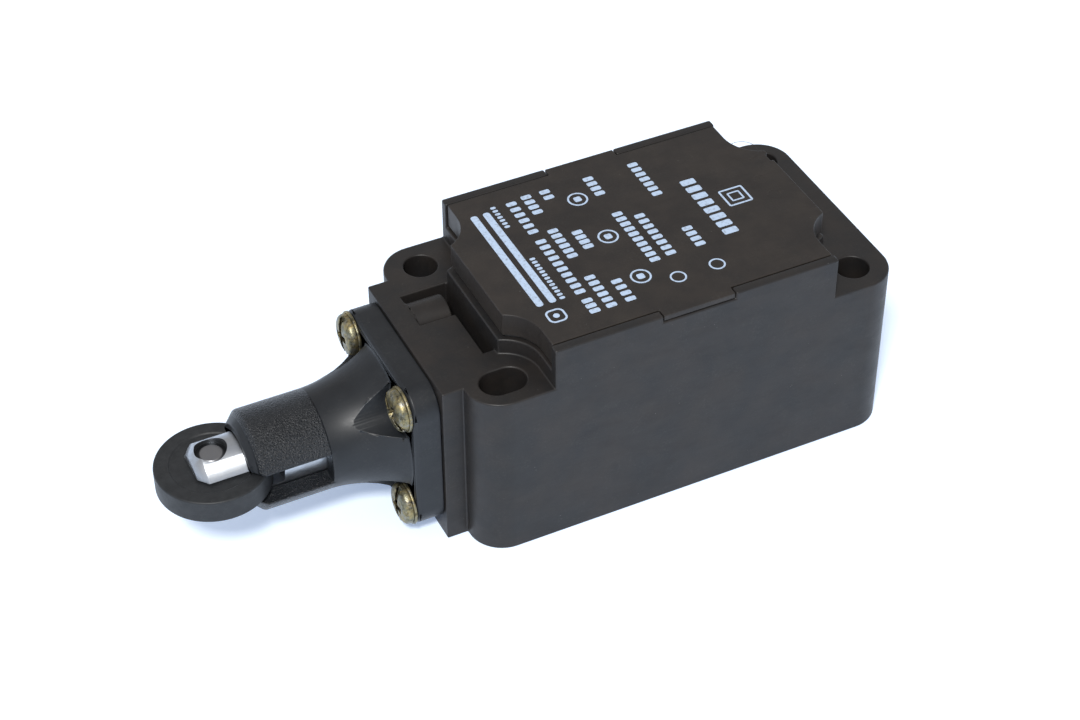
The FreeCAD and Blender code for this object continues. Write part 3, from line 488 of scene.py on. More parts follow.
class Finishes(Enum):
    """The finishes that the switch's pieces are given."""

    HOUSING = MouldedPlastic("housing_plastic_finish", (0.0115, 0.0112, 0.0118), 0.46,
                             mottle=(0.0185, 0.0155, 0.0140))
    COVER = MouldedPlastic("cover_plastic_finish", (0.0155, 0.0130, 0.0118), 0.46,
                           mottle=(0.024, 0.0195, 0.0165), mottle_size=5.0)
    HEAD = ErodedPlastic("head_plastic_finish", (0.0085, 0.0100, 0.0125), 0.42,
                         mottle=(0.0125, 0.0145, 0.0175), edge=(0.075, 0.085, 0.10))
    ROLLER = MouldedPlastic("roller_plastic_finish", (0.0125, 0.0140, 0.0160), 0.5,
                            mottle=(0.020, 0.022, 0.0245), mottle_size=1.6, grain_size=0.3,
                            grain_depth=0.03, dust_size=0.8, edge=(0.10, 0.11, 0.12))
    BLOCK = MouldedPlastic("block_plastic_finish", (0.42, 0.40, 0.35), 0.45,
                           mottle=(0.36, 0.33, 0.28), edge=(0.55, 0.53, 0.48), dust=(0.2, 0.18, 0.15))
    CARRIER = MouldedPlastic("carrier_plastic_finish", (0.30, 0.045, 0.030), 0.4,
                             mottle=(0.24, 0.035, 0.025), edge=(0.45, 0.10, 0.07))
    # The plunger's pocket is the pin's recess on its fork, painted dark as painted shade.
    STEEL = DrawnSteel("plunger_steel_finish", (0.50, 0.53, 0.57), 0.34, line_depth=0.018,
                       shade_pocket=(-71.1, 0.0, 2.5))
    PIN = DrawnSteel("pin_steel_finish", (0.26, 0.265, 0.28), 0.4, lines=(1.0, 1.0, 1.0))
    SPRING = DrawnSteel("spring_steel_finish", (0.50, 0.51, 0.53), 0.28, lines=(1.0, 1.0, 1.0))
    CHROMATE = Chromate("chromated_steel_finish", (0.19, 0.185, 0.125), 0.36)
    BRASS = DrawnSteel("contact_brass_finish", (0.72, 0.52, 0.24), 0.3, dull=(0.35, 0.22, 0.10))
    RUBBER = SoftRubber("seal_rubber_finish", (0.012, 0.012, 0.013), 0.7)
    INK = PrintedInk("cover_ink_finish", (0.44, 0.56, 0.74), 0.5)


# ---------------------------------------------------------------------------
# Meshes
# ---------------------------------------------------------------------------
MERGE = 1e-6
FLAT = math.radians(0.4)
TURN = math.radians(25.0)
ROOM_SHARE = 0.4
CREASE = math.radians(32.0)
STALE = "custom_normal"


def cad_solid(node: str) -> bmesh.types.BMesh:
    """A clean copy of a frame node: its triangles merged, and flat ones joined.

    Args:
        node: The frame node's name.

    Returns:
        The copy, to be freed by whoever finishes it.
    """
    solid = bmesh.new()
    solid.from_mesh(frame["nodes"][node].data)
    bmesh.ops.remove_doubles(solid, verts=solid.verts, dist=MERGE)
    bmesh.ops.dissolve_limit(solid, angle_limit=FLAT, verts=solid.verts, edges=solid.edges)
    return solid


def room_beside(edge: bmesh.types.BMEdge) -> float:
    """How far the narrower face beside an edge reaches from it.

    Args:
        edge: An edge between two faces.

    Returns:
        The reach, in metres.
    """
    start = edge.verts[0].co
    along = (edge.verts[1].co - start).normalized()
    reaches = []
    for face in edge.link_faces:
        offsets = [(vert.co - start) for vert in face.verts]
        reaches.append(max((offset - along * offset.dot(along)).length for offset in offsets))
    return min(reaches)


def held(solid: bmesh.types.BMesh, name: str) -> bpy.types.Object:
    """A scene object that holds a solid, smooth and without its stored normals.

    Args:
        solid: The solid, which is freed.
        name: The object's name.

    Returns:
        The object.
    """
    mesh = bpy.data.meshes.new(name)
    solid.to_mesh(mesh)
    solid.free()
    if STALE in mesh.attributes:
        mesh.attributes.remove(mesh.attributes[STALE])
    mesh.shade_smooth()
    holder = bpy.data.objects.new(name, mesh)
    bpy.context.scene.collection.objects.link(holder)
    return holder


def rounded(solid: bmesh.types.BMesh, width: float, segments: int = 2) -> bpy.types.Mesh:
    """Rounds a solid's edges, less where there is little room, and shades it smoothly.

    Args:
        solid: The solid, which is freed.
        width: How wide the rounding is, in millimetres.
        segments: How many faces it takes.

    Returns:
        The finished mesh.
    """
    weights = solid.edges.layers.float.new("bevel_weight_edge")
    for edge in solid.edges:
        if len(edge.link_faces) == 2 and edge.calc_face_angle(0.0) > TURN:
            edge[weights] = min(1.0, ROOM_SHARE * room_beside(edge) / (width * MM))
    holder = held(solid, "rounded")
    bevel = holder.modifiers.new("Rounded edges", "BEVEL")
    bevel.width = width * MM
    bevel.segments = segments
    bevel.limit_method = "WEIGHT"
    bevel.use_clamp_overlap = False
    weighted = holder.modifiers.new("Flat faces", "WEIGHTED_NORMAL")
    weighted.keep_sharp = True
    return taken(holder)


def taken(holder: bpy.types.Object) -> bpy.types.Mesh:
    """An object's mesh with its modifiers applied; the object itself is removed.

    Args:
        holder: The object.

    Returns:
        The plain mesh.
    """
    depsgraph = bpy.context.evaluated_depsgraph_get()
    depsgraph.update()
    mesh = bpy.data.meshes.new_from_object(holder.evaluated_get(depsgraph))
    bpy.data.objects.remove(holder)
    return mesh


def lathe(profile: Sequence[tuple[float, float]], centre: Vector, steps: int = 96,
          axis: Vector = UP) -> bmesh.types.BMesh:
    """Turns a closed profile about an axis.

    Args:
        profile: Points as radius and height, in millimetres, upwards along the outside.
        centre: The axis point, in metres.
        steps: How many faces go round.
        axis: The direction of the heights.

    Returns:
        The turned solid.
    """
    solid = bmesh.new()
    rings = []
    side = axis.orthogonal().normalized()
    other = axis.cross(side)
    for step in range(steps):
        angle = math.tau * step / steps
        across = side * math.cos(angle) + other * math.sin(angle)
        ring = [solid.verts.new(centre + (across * radius + axis * height) * MM)
                for radius, height in profile]
        rings.append(ring)
    for step, ring in enumerate(rings):
        following = rings[(step + 1) % steps]
        for place in range(len(profile)):
            after = (place + 1) % len(profile)
            solid.faces.new((ring[place], following[place], following[after], ring[after]))
    bmesh.ops.remove_doubles(solid, verts=solid.verts, dist=MERGE)
    bmesh.ops.dissolve_degenerate(solid, edges=solid.edges, dist=MERGE)
    bmesh.ops.recalc_face_normals(solid, faces=solid.faces)
    return solid


def box_solid(low: Vector, high: Vector) -> bmesh.types.BMesh:
    """A plain box between two corners, used as a cutter.

    Args:
        low: The lower corner, in metres.
        high: The upper corner.

    Returns:
        The box.
    """
    solid = bmesh.new()
    bmesh.ops.create_cube(solid, size=1.0)
    for vert in solid.verts:
        vert.co = Vector(low[k] + (vert.co[k] + 0.5) * (high[k] - low[k]) for k in range(3))
    return solid


def carved(solid: bmesh.types.BMesh, *cutters: bmesh.types.BMesh) -> bpy.types.Mesh:
    """A solid with cutters taken out, smooth but for its creases.

    Args:
        solid: The solid, which is freed.
        *cutters: What is cut away, which is freed too.

    Returns:
        The mesh.
    """
    holder = held(solid, "carved")
    tools = [held(cutter, "cutter") for cutter in cutters]
    for tool in tools:
        difference = holder.modifiers.new("Cut", "BOOLEAN")
        difference.operation, difference.solver, difference.object = "DIFFERENCE", "EXACT", tool
    mesh = taken(holder)
    for tool in tools:
        bpy.data.objects.remove(tool)
    mesh.shade_smooth()
    mesh.set_sharp_from_angle(angle=CREASE)
    return mesh


# ---------------------------------------------------------------------------
# Geometry trees for what repeats or follows a rule
# ---------------------------------------------------------------------------
class ShapeTree(Graph):
    """A geometry tree with named inputs, applied to a mesh of seat points."""

    def __init__(self, name: str) -> None:
        """Starts a tree whose first input and only output are geometry.

        Args:
            name: The tree's name.
        """
        tree = bpy.data.node_groups.new(name, "GeometryNodeTree")
        super().__init__(tree)
        self.face = tree.interface
        self.face.new_socket("Seats", in_out="INPUT", socket_type="NodeSocketGeometry")
        self.face.new_socket("Geometry", in_out="OUTPUT", socket_type="NodeSocketGeometry")
        self.inside = tree.nodes.new("NodeGroupInput")
        self.outside = tree.nodes.new("NodeGroupOutput")
        self.values: dict[str, object] = {}

    def size(self, name: str, value: float) -> bpy.types.NodeSocket:
        """Adds a named length input, in millimetres outside and metres inside.

        Args:
            name: The input's name.
            value: Its value for this piece.

        Returns:
            The input's socket, in metres.
        """
        return self.times(self.number(name, value), MM)

    def number(self, name: str, value: float) -> bpy.types.NodeSocket:
        """Adds a named plain number.

        Args:
            name: The input's name.
            value: Its value for this piece.

        Returns:
            The input's socket.
        """
        self.face.new_socket(name, in_out="INPUT", socket_type="NodeSocketFloat")
        self.values[name] = value
        return self.inside.outputs[name]

    def vector(self, x: Value, y: Value, z: Value) -> bpy.types.NodeSocket:
        """Joins three numbers into a vector."""
        return self.add("ShaderNodeCombineXYZ", x, y, z).outputs[0]

    def turned(self, rows: int, steps: int, shape: Shape) -> bpy.types.NodeSocket:
        """A grid wrapped round the Z axis into a closed solid.

        Args:
            rows: How many points run along the profile.
            steps: How many points run round.
            shape: A function from the profile's share and the angle to a radius and a height.

        Returns:
            The solid's socket.
        """
        grid = self.add("GeometryNodeMeshGrid", 1.0, 1.0, rows, steps).outputs[0]
        flat = self.add("ShaderNodeSeparateXYZ", self.add("GeometryNodeInputPosition").outputs[0])
        share = self.math("ADD", flat.outputs[0], 0.5)
        angle = self.times(self.math("ADD", flat.outputs[1], 0.5), math.tau)
        radius, height = shape(share, angle)
        place = self.vector(self.times(radius, self.math("COSINE", angle)),
                            self.times(radius, self.math("SINE", angle)), height)
        wrapped = self.named(self.add("GeometryNodeSetPosition", grid), Position=place)
        merge = self.named(self.add("GeometryNodeMergeByDistance", wrapped.outputs[0]), Distance=MERGE * 2)
        return merge.outputs[0]

    def power(self, wave: Value, squareness: Value) -> bpy.types.NodeSocket:
        """A sine or cosine raised to 2 / squareness, with its sign kept."""
        size = self.math("POWER", self.math("ABSOLUTE", wave), self.math("DIVIDE", 2.0, squareness))
        return self.times(size, self.math("SIGN", wave))

    def block(self, x: Value, y: Value, z: Value, lift: Value) -> bpy.types.NodeSocket:
        """A box of three sizes, lifted along Z."""
        cube = self.add("GeometryNodeMeshCube", self.vector(x, y, z)).outputs[0]
        moved = self.named(self.add("GeometryNodeTransform", cube), Translation=self.vector(0, 0, lift))
        return moved.outputs[0]

    def stand(self, solid: Value, rotation: Value, spin: Value = None) -> bpy.types.NodeSocket:
        """Puts a copy of a solid on each seat point.

        Args:
            solid: The solid to repeat.
            rotation: Which way its Z axis points, as angles.
            spin: How far each copy turns about its own axis.

        Returns:
            The instances.
        """
        copies = self.add("GeometryNodeInstanceOnPoints")
        self.named(copies, Points=self.inside.outputs["Seats"], Instance=solid, Rotation=rotation)
        if spin is None:
            return copies.outputs[0]
        turned = self.add("GeometryNodeRotateInstances")
        self.named(turned, Instances=copies.outputs[0], Rotation=self.vector(0.0, 0.0, spin),
                   Local_Space=True)
        return turned.outputs[0]

    def close(self, geometry: Value) -> None:
        """Realizes the instances, gives them their material and ends the tree.

        Args:
            geometry: What the tree has made.
        """
        self.face.new_socket("Finish", in_out="INPUT", socket_type="NodeSocketMaterial")
        real = self.add("GeometryNodeRealizeInstances", geometry).outputs[0]
        dressed = self.named(self.add("GeometryNodeSetMaterial", real),
                             Material=self.inside.outputs["Finish"])
        self.tree.links.new(dressed.outputs[0], self.outside.inputs["Geometry"])

    def apply(self, seats: Sequence[Vector], finish: Finish) -> bpy.types.Mesh:
        """Runs the tree on seat points and takes the plain mesh.

        Args:
            seats: Where the copies stand, in metres.
            finish: The finish that the tree sets.

        Returns:
            The mesh.
        """
        points = bpy.data.meshes.new("seats")
        points.from_pydata([tuple(seat) for seat in seats], [], [])
        holder = bpy.data.objects.new("seats", points)
        bpy.context.scene.collection.objects.link(holder)
        modifier = holder.modifiers.new("Shape", "NODES")
        modifier.node_group = self.tree
        self.values["Finish"] = finish.material()
        for item in self.face.items_tree:
            if item.in_out == "INPUT" and item.name in self.values:
                modifier[item.identifier] = self.values[item.name]
        return taken(holder)


# ---------------------------------------------------------------------------
# Putting pieces on the frame
# ---------------------------------------------------------------------------
def place(name: str, mesh: bpy.types.Mesh, finish: Finish, slot: str, *nodes: str) -> bpy.types.Object:
    """Makes a finished piece that stands for frame nodes and rides with the first.

    Args:
        name: The piece's name.
        mesh: Its mesh, in the frame's place.
        finish: Its finish.
        slot: Not used.
        *nodes: The frame nodes that it replaces.

    Returns:
        The piece.
    """
    mesh.name = name
    mesh.materials.clear()
    mesh.materials.append(finish.material())
    piece = bpy.data.objects.new(name, mesh)
    bpy.context.scene.collection.objects.link(piece)
    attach(piece, frame["nodes"][nodes[0]]["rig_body"])
    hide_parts(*nodes)
    LOG.info("%s: %d faces, for %s", name, len(mesh.polygons), ", ".join(nodes))
    return piece


def centre_of(node: str) -> Vector:
    """The middle of a frame node's box, in metres."""
    low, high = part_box(node)
    return (low + high) / 2


@dataclass
class EdgedPieces:
    """Frame nodes whose shape is right and only need rounded edges and a finish."""

    finish: Finish
    slot: str
    nodes: tuple[str, ...]
    edge: float = 0.2

    def build(self) -> None:
        """Makes one rounded piece for each node."""
        for node in self.nodes:
            mesh = rounded(cad_solid(node), self.edge)
            place(node + "_piece", mesh, self.finish, self.slot, node)


@dataclass
class Screws:
    """A set of like screws, with a domed head, a drive and a threaded shank."""

    name: str
    node: str
    seats: list[Vector]
    tilt: tuple[float, float, float]
    finish: Finish
    slot: str
    head_radius: float = 3.35
    head_height: float = 1.6
    squareness: float = 3.2
    shank_radius: float = 1.75
    reach: float = 13.4
    thread_pitch: float = 0.7
    thread_depth: float = 0.28
    drive_width: float = 1.0
    drive_depth: float = 0.95
    cross_reach: float = 1.65
    cross_depth: float = 1.1
    spin_step: float = 1.1
    edge: float = 0.07
    crown_share: float = 5.0 / 6.0
    head_grid: tuple[int, int] = (43, 73)
    thread_rows: int = 7
    thread_steps: int = 25

    def build(self) -> None:
        """Makes the whole set as one piece."""
        tree = ShapeTree(self.name)
        radius = tree.size("Head Radius", self.head_radius)
        height = tree.size("Head Height", self.head_height)
        squareness = tree.number("Squareness", self.squareness)
        head = self.head(tree, radius, height, squareness)
        shank = self.shank(tree)
        whole = tree.add("GeometryNodeMeshBoolean", operation="UNION", solver="EXACT")
        for part in (head, shank):
            tree.tree.links.new(part, whole.inputs[1])
        spin = tree.times(tree.add("GeometryNodeInputIndex").outputs[0],
                         tree.number("Spin Step", self.spin_step))
        tree.close(tree.stand(whole.outputs[0], self.tilt, spin))
        solid = bmesh.new()
        solid.from_mesh(tree.apply(self.seats, self.finish))
        bmesh.ops.remove_doubles(solid, verts=solid.verts, dist=MERGE * 2)
        bmesh.ops.recalc_face_normals(solid, faces=solid.faces)
        place(self.name, rounded(solid, self.edge), self.finish, self.slot, self.node)

    def head(self, tree: ShapeTree, radius: Value, height: Value, squareness: Value
             ) -> bpy.types.NodeSocket:
        """A flat-bottomed domed head with its slot and cross cut in.

        Args:
            tree: The geometry tree.
            radius: The head's radius.
            height: The head's height.
            squareness: How square its shoulder is.

        Returns:
            The head's socket.
        """
        def dome(share: Value, _angle: Value) -> tuple[Value, Value]:
            """The head's outline, from the crown to the middle of its underside.

            Args:
                share: How far along the outline, from 0 to 1.
                _angle: The angle round the axis, which does not matter here.

            Returns:
                The radius and the height.
            """
            turn = tree.math("MINIMUM", tree.times(share, math.pi * 0.6), math.pi / 2)
            under = tree.spread(share, self.crown_share, 1.0, 1.0, 0.0)
            wide = tree.times(tree.power(tree.math("SINE", turn), squareness), under)
            return (tree.times(wide, radius),
                    tree.times(tree.power(tree.math("COSINE", turn), squareness), height))

        solid = tree.turned(*self.head_grid, dome)
        deep = tree.size("Drive Depth", self.drive_depth * 2)
        wide = tree.size("Drive Width", self.drive_width)
        across = tree.times(radius, 2.4)
        cutters = [tree.block(across, wide, deep, height)]
        if self.cross_reach:
            along = tree.size("Cross Reach", self.cross_reach * 2)
            cutters.append(tree.block(wide, along, tree.size("Cross Depth", self.cross_depth * 2), height))
        cut = tree.add("GeometryNodeMeshBoolean", solid, operation="DIFFERENCE", solver="EXACT")
        for cutter in cutters:
            tree.tree.links.new(cutter, cut.inputs[1])
        return cut.outputs[0]

    def shank(self, tree: ShapeTree) -> bpy.types.NodeSocket:
        """A threaded shank below the head.

        Args:
            tree: The geometry tree.

        Returns:
            The shank's socket.
        """
        radius = tree.size("Shank Radius", self.shank_radius)
        reach = tree.size("Reach", self.reach)
        pitch = tree.size("Thread Pitch", self.thread_pitch)
        depth = tree.size("Thread Depth", self.thread_depth)

        def thread(share: Value, angle: Value) -> tuple[Value, Value]:
            """The shank's outline, whose crests climb as the angle turns.

            Args:
                share: How far down the shank, from 0 to 1.
                angle: The angle round the axis.

            Returns:
                The radius and the height.
            """
            down = tree.times(tree.spread(share, 0.02, 0.98), reach)
            turns = tree.times(tree.math("DIVIDE", down, pitch), math.tau)
            wave = tree.math("SUBTRACT", tree.math("COSINE", tree.math("ADD", turns, angle)), 1.0)
            wide = tree.math("ADD", radius, tree.times(tree.times(wave, 0.5), depth))
            ends = tree.times(tree.spread(share, 0.0, 0.01), tree.spread(share, 1.0, 0.99))
            return (tree.times(wide, ends),
                    tree.math("SUBTRACT", tree.times(radius, 0.2), down))

        rows = round(self.reach / self.thread_pitch * self.thread_rows)
        return tree.turned(rows, self.thread_steps, thread)


@dataclass
class Washers:
    """A set of like round washers with rounded edges."""

    name: str
    node: str
    seats: list[Vector]
    tilt: tuple[float, float, float]
    inner: float = 1.9
    outer: float = 3.6
    thickness: float = 0.5
    squareness: float = 5.0
    grid: tuple[int, int] = (25, 65)

    def build(self) -> None:
        """Makes the set as one piece."""
        tree = ShapeTree(self.name)
        middle = tree.size("Middle Radius", (self.inner + self.outer) / 2)
        half = tree.size("Half Width", (self.outer - self.inner) / 2)
        thick = tree.size("Half Thickness", self.thickness / 2)
        squareness = tree.number("Squareness", self.squareness)

        def ring(share: Value, _angle: Value) -> tuple[Value, Value]:
            """The washer's section, a rounded rectangle.

            Args:
                share: How far round the section, from 0 to 1.
                _angle: The angle round the axis, which does not matter here.

            Returns:
                The radius and the height.
            """
            turn = tree.times(share, -math.tau)
            wide = tree.times(tree.power(tree.math("COSINE", turn), squareness), half)
            high = tree.times(tree.power(tree.math("SINE", turn), squareness), thick)
            return tree.math("ADD", middle, wide), tree.math("ADD", high, thick)

        tree.close(tree.stand(tree.turned(*self.grid, ring), self.tilt))
        mesh = tree.apply(self.seats, Finishes.CHROMATE.value)
        mesh.shade_smooth()
        place(self.name, mesh, Finishes.CHROMATE.value, "chromated_steel", self.node)


@dataclass
class CoilSpring:
    """A wire coil along X, with closed ends."""

    node: str
    joint: str
    travel: float
    wire: float
    turns: float
    squashes: bool = True
    points_a_turn: int = 36
    closed_turns: float = 0.8
    section_points: int = 14

    def build(self) -> None:
        """Makes the coil in the place of its frame node."""
        low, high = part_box(self.node)
        length = high.x - low.x
        tree = ShapeTree(self.node + "_coil")
        wire = tree.size("Wire", self.wire)
        radius = tree.size("Coil Radius", (high.z - low.z) / 2 / MM - self.wire / 2)
        span = tree.size("Length", length / MM - self.wire)
        turns = tree.number("Turns", self.turns)
        count = round(self.turns * self.points_a_turn) + 1
        line = tree.named(tree.add("GeometryNodeMeshLine"), Count=count)
        share = tree.math("DIVIDE", tree.add("GeometryNodeInputIndex").outputs[0], count - 1.0)
        angle = tree.times(tree.times(share, turns), math.tau)
        dead = self.closed_turns / self.turns
        rest = tree.math("SUBTRACT", span, tree.times(wire, 2.0))
        first = tree.times(tree.spread(share, 0.0, dead), wire)
        middle = tree.times(tree.spread(share, dead, 1.0 - dead), rest)
        last = tree.times(tree.spread(share, 1.0 - dead, 1.0), wire)
        along = tree.math("ADD", tree.math("ADD", first, middle), last)
        place_at = tree.vector(along, tree.times(radius, tree.math("COSINE", angle)),
                               tree.times(radius, tree.math("SINE", angle)))
        moved = tree.named(tree.add("GeometryNodeSetPosition", line.outputs[0]), Position=place_at)
        curve = tree.add("GeometryNodeMeshToCurve", moved.outputs[0]).outputs[0]
        section = tree.named(tree.add("GeometryNodeCurvePrimitiveCircle"), Resolution=self.section_points,
                             Radius=tree.times(wire, 0.5))
        swept = tree.named(tree.add("GeometryNodeCurveToMesh"), Curve=curve,
                           Profile_Curve=section.outputs[0], Fill_Caps=True)
        tree.close(tree.stand(swept.outputs[0], (0.0, 0.0, 0.0)))
        start = centre_of(self.node)
        start.x = low.x + self.wire / 2 * MM
        mesh = tree.apply([start], Finishes.SPRING.value)
        mesh.shade_smooth()
        piece = place(self.node + "_piece", mesh, Finishes.SPRING.value, "spring_steel", self.node)
        if self.squashes:
            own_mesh(piece)


@dataclass
class Roller:
    """The plastic roller: a rounded rim, a dished face and a hub."""

    radius: float = 8.85
    half_width: float = 2.0
    rim_round: float = 0.32
    land: float = 2.25
    dish: float = 0.22
    hub_radius: float = 3.1
    hub_half: float = 2.07
    bore: float = 1.95
    chamfer: float = 0.12
    round_steps: int = 5
    steps: int = 128
    edge: float = 0.06

    def build(self) -> None:
        """Turns the roller about its pin."""
        upper = self.upper_profile()
        profile = [(radius, -height) for radius, height in reversed(upper)] + upper
        mesh = rounded(lathe(profile[::-1], centre_of("roller"), self.steps), self.edge)
        place("roller_wheel", mesh, Finishes.ROLLER.value, "roller_plastic", "roller")

    def upper_profile(self) -> list[tuple[float, float]]:
        """The outline from the rim inwards to the bore, on the upper side.

        Returns:
            Radius and height, in millimetres.
        """
        points = []
        for step in range(self.round_steps + 1):
            turn = math.pi / 2 * step / self.round_steps
            points.append((self.radius - self.rim_round * (1 - math.cos(turn)),
                           self.half_width - self.rim_round * (1 - math.sin(turn))))
        step_edge = self.radius - self.land
        floor = self.half_width - self.dish
        points += [(step_edge, self.half_width), (step_edge - self.dish, floor),
                   (self.hub_radius + self.chamfer, floor), (self.hub_radius, self.hub_half - self.chamfer),
                   (self.hub_radius - self.chamfer, self.hub_half),
                   (self.bore + self.chamfer, self.hub_half), (self.bore, self.hub_half - self.chamfer)]
        return points


@dataclass
class RollerPin:
    """The steel pin of the roller, with a turned end and a bevel."""

    radius: float = 1.9
    half_length: float = 3.9
    bevel: float = 0.2
    ring: float = 1.15
    ring_width: float = 0.2
    groove: float = 0.03
    steps: int = 64
    edge: float = 0.04

    def build(self) -> None:
        """Turns the pin."""
        upper = [(self.radius, self.half_length - self.bevel),
                 (self.radius - self.bevel, self.half_length),
                 (self.ring, self.half_length - self.groove / 2),
                 (self.ring - self.ring_width, self.half_length - self.groove),
                 (0.0, self.half_length - self.groove * 2)]
        lower = [(radius, -height) for radius, height in reversed(upper)]
        turned = lathe((lower + upper)[::-1], centre_of("roller_pin"), self.steps)
        mesh = rounded(turned, self.edge)
        place("roller_pin_turned", mesh, Finishes.PIN.value, "plunger_steel", "roller_pin")


@dataclass
class OperatingHead:
    """The flanged head with its screws, washers, gasket and wiper seal."""

    screw_pitch: float = 19.2
    edge: float = 0.28
    seal_edge: float = 0.1

    def build(self) -> None:
        """Makes the head's pieces."""
        head = rounded(cad_solid("head_housing"), self.edge)
        place("head_casing", head, Finishes.HEAD.value, "head_plastic", "head_housing")
        facing = (0.0, -math.pi / 2, 0.0)
        low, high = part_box("head_screw_washers")
        Washers("head_washers", "head_screw_washers", self.seats(high.x), facing).build()
        Screws("head_fixing_screws", "head_screws", self.seats(low.x), facing,
               Finishes.CHROMATE.value, "chromated_steel").build()
        EdgedPieces(Finishes.RUBBER.value, "seal_rubber", ("head_gasket", "plunger_seal"),
                    self.seal_edge).build()

    def seats(self, face: float) -> list[Vector]:
        """Where the four screws stand.

        Args:
            face: The face that they stand on, along X, in metres.

        Returns:
            The four points.
        """
        half = self.screw_pitch / 2 * MM
        axis = centre_of("head_housing").z
        return [Vector((face, side * half, axis + level * half)) for side in (-1, 1) for level in (-1, 1)]


@dataclass
class Plunger:
    """The turned plunger: a forked and bevelled tip, a guided barrel, a collar and a stem.

    Places along X are measured from the roller's axis.
    """

    tip: float = -3.4
    ear_bevel: float = 1.4
    barrel_radius: float = 5.0
    collar_front: float = 24.15
    collar_radius: float = 6.1
    collar_length: float = 2.4
    pilot_radius: float = 3.7
    pilot_length: float = 3.5
    stem_radius: float = 2.6
    soft: float = 0.14
    slot_half: float = 2.15
    slot_end: float = 9.55
    recess_radius: float = 2.5
    recess_level: float = 3.65
    hole_radius: float = 1.9
    steps: int = 192
    drill_steps: int = 72

    def build(self) -> None:
        """Turns the plunger and cuts its fork, pin hole and recesses."""
        axis = centre_of("roller_pin")
        turned = lathe(self.profile()[::-1], axis, self.steps, ALONG)
        reach = self.barrel_radius * 2
        slot = box_solid(axis + Vector((-reach, -reach, -self.slot_half)) * MM,
                         axis + Vector((self.slot_end, reach, self.slot_half)) * MM)
        cutters = [slot, self.drill(axis, self.hole_radius, -reach, reach),
                   self.drill(axis, self.recess_radius, self.recess_level, reach),
                   self.drill(axis, self.recess_radius, -reach, -self.recess_level)]
        place("plunger_fork", carved(turned, *cutters), Finishes.STEEL.value, "plunger_steel", "plunger")

    def profile(self) -> list[tuple[float, float]]:
        """The outline from the tip to the stem's end, with its corners taken off.

        Returns:
            Radius and place along X, in millimetres.
        """
        end = (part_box("plunger")[1].x - centre_of("roller_pin").x) / MM
        back = self.collar_front + self.collar_length
        pilot = back + self.pilot_length
        soft = self.soft
        return [(0.0, self.tip), (self.barrel_radius - self.ear_bevel - soft, self.tip),
                (self.barrel_radius - self.ear_bevel, self.tip + soft * 0.5),
                (self.barrel_radius - soft * 0.5, self.tip + self.ear_bevel - soft * 0.5),
                (self.barrel_radius, self.tip + self.ear_bevel + soft),
                (self.barrel_radius, self.collar_front), (self.collar_radius - soft, self.collar_front),
                (self.collar_radius, self.collar_front + soft), (self.collar_radius, back - soft),
                (self.collar_radius - soft, back), (self.pilot_radius, back),
                (self.pilot_radius, pilot - soft), (self.pilot_radius - soft, pilot),
                (self.stem_radius, pilot), (self.stem_radius, end - soft),
                (self.stem_radius - soft, end), (0.0, end)]

    def drill(self, axis: Vector, radius: float, low: float, high: float) -> bmesh.types.BMesh:
        """A round cutter along the roller's axis.

        Args:
            axis: The middle of the pin, in metres.
            radius: The cutter's radius.
            low: Its lower end, from the middle.
            high: Its upper end.

        Returns:
            The cutter.
        """
        return lathe([(0.0, high), (radius, high), (radius, low), (0.0, low)], axis,
                     self.drill_steps)


@dataclass
class PlungerSet:
    """The forked plunger, its roller and pin, and its return spring."""

    travel: float = 5.5

    def build(self) -> None:
        """Makes the pieces that move along the head's axis."""
        Plunger().build()
        Roller().build()
        RollerPin().build()
        CoilSpring("return_spring", "plunger_travel", self.travel, 0.9, 6.0).build()


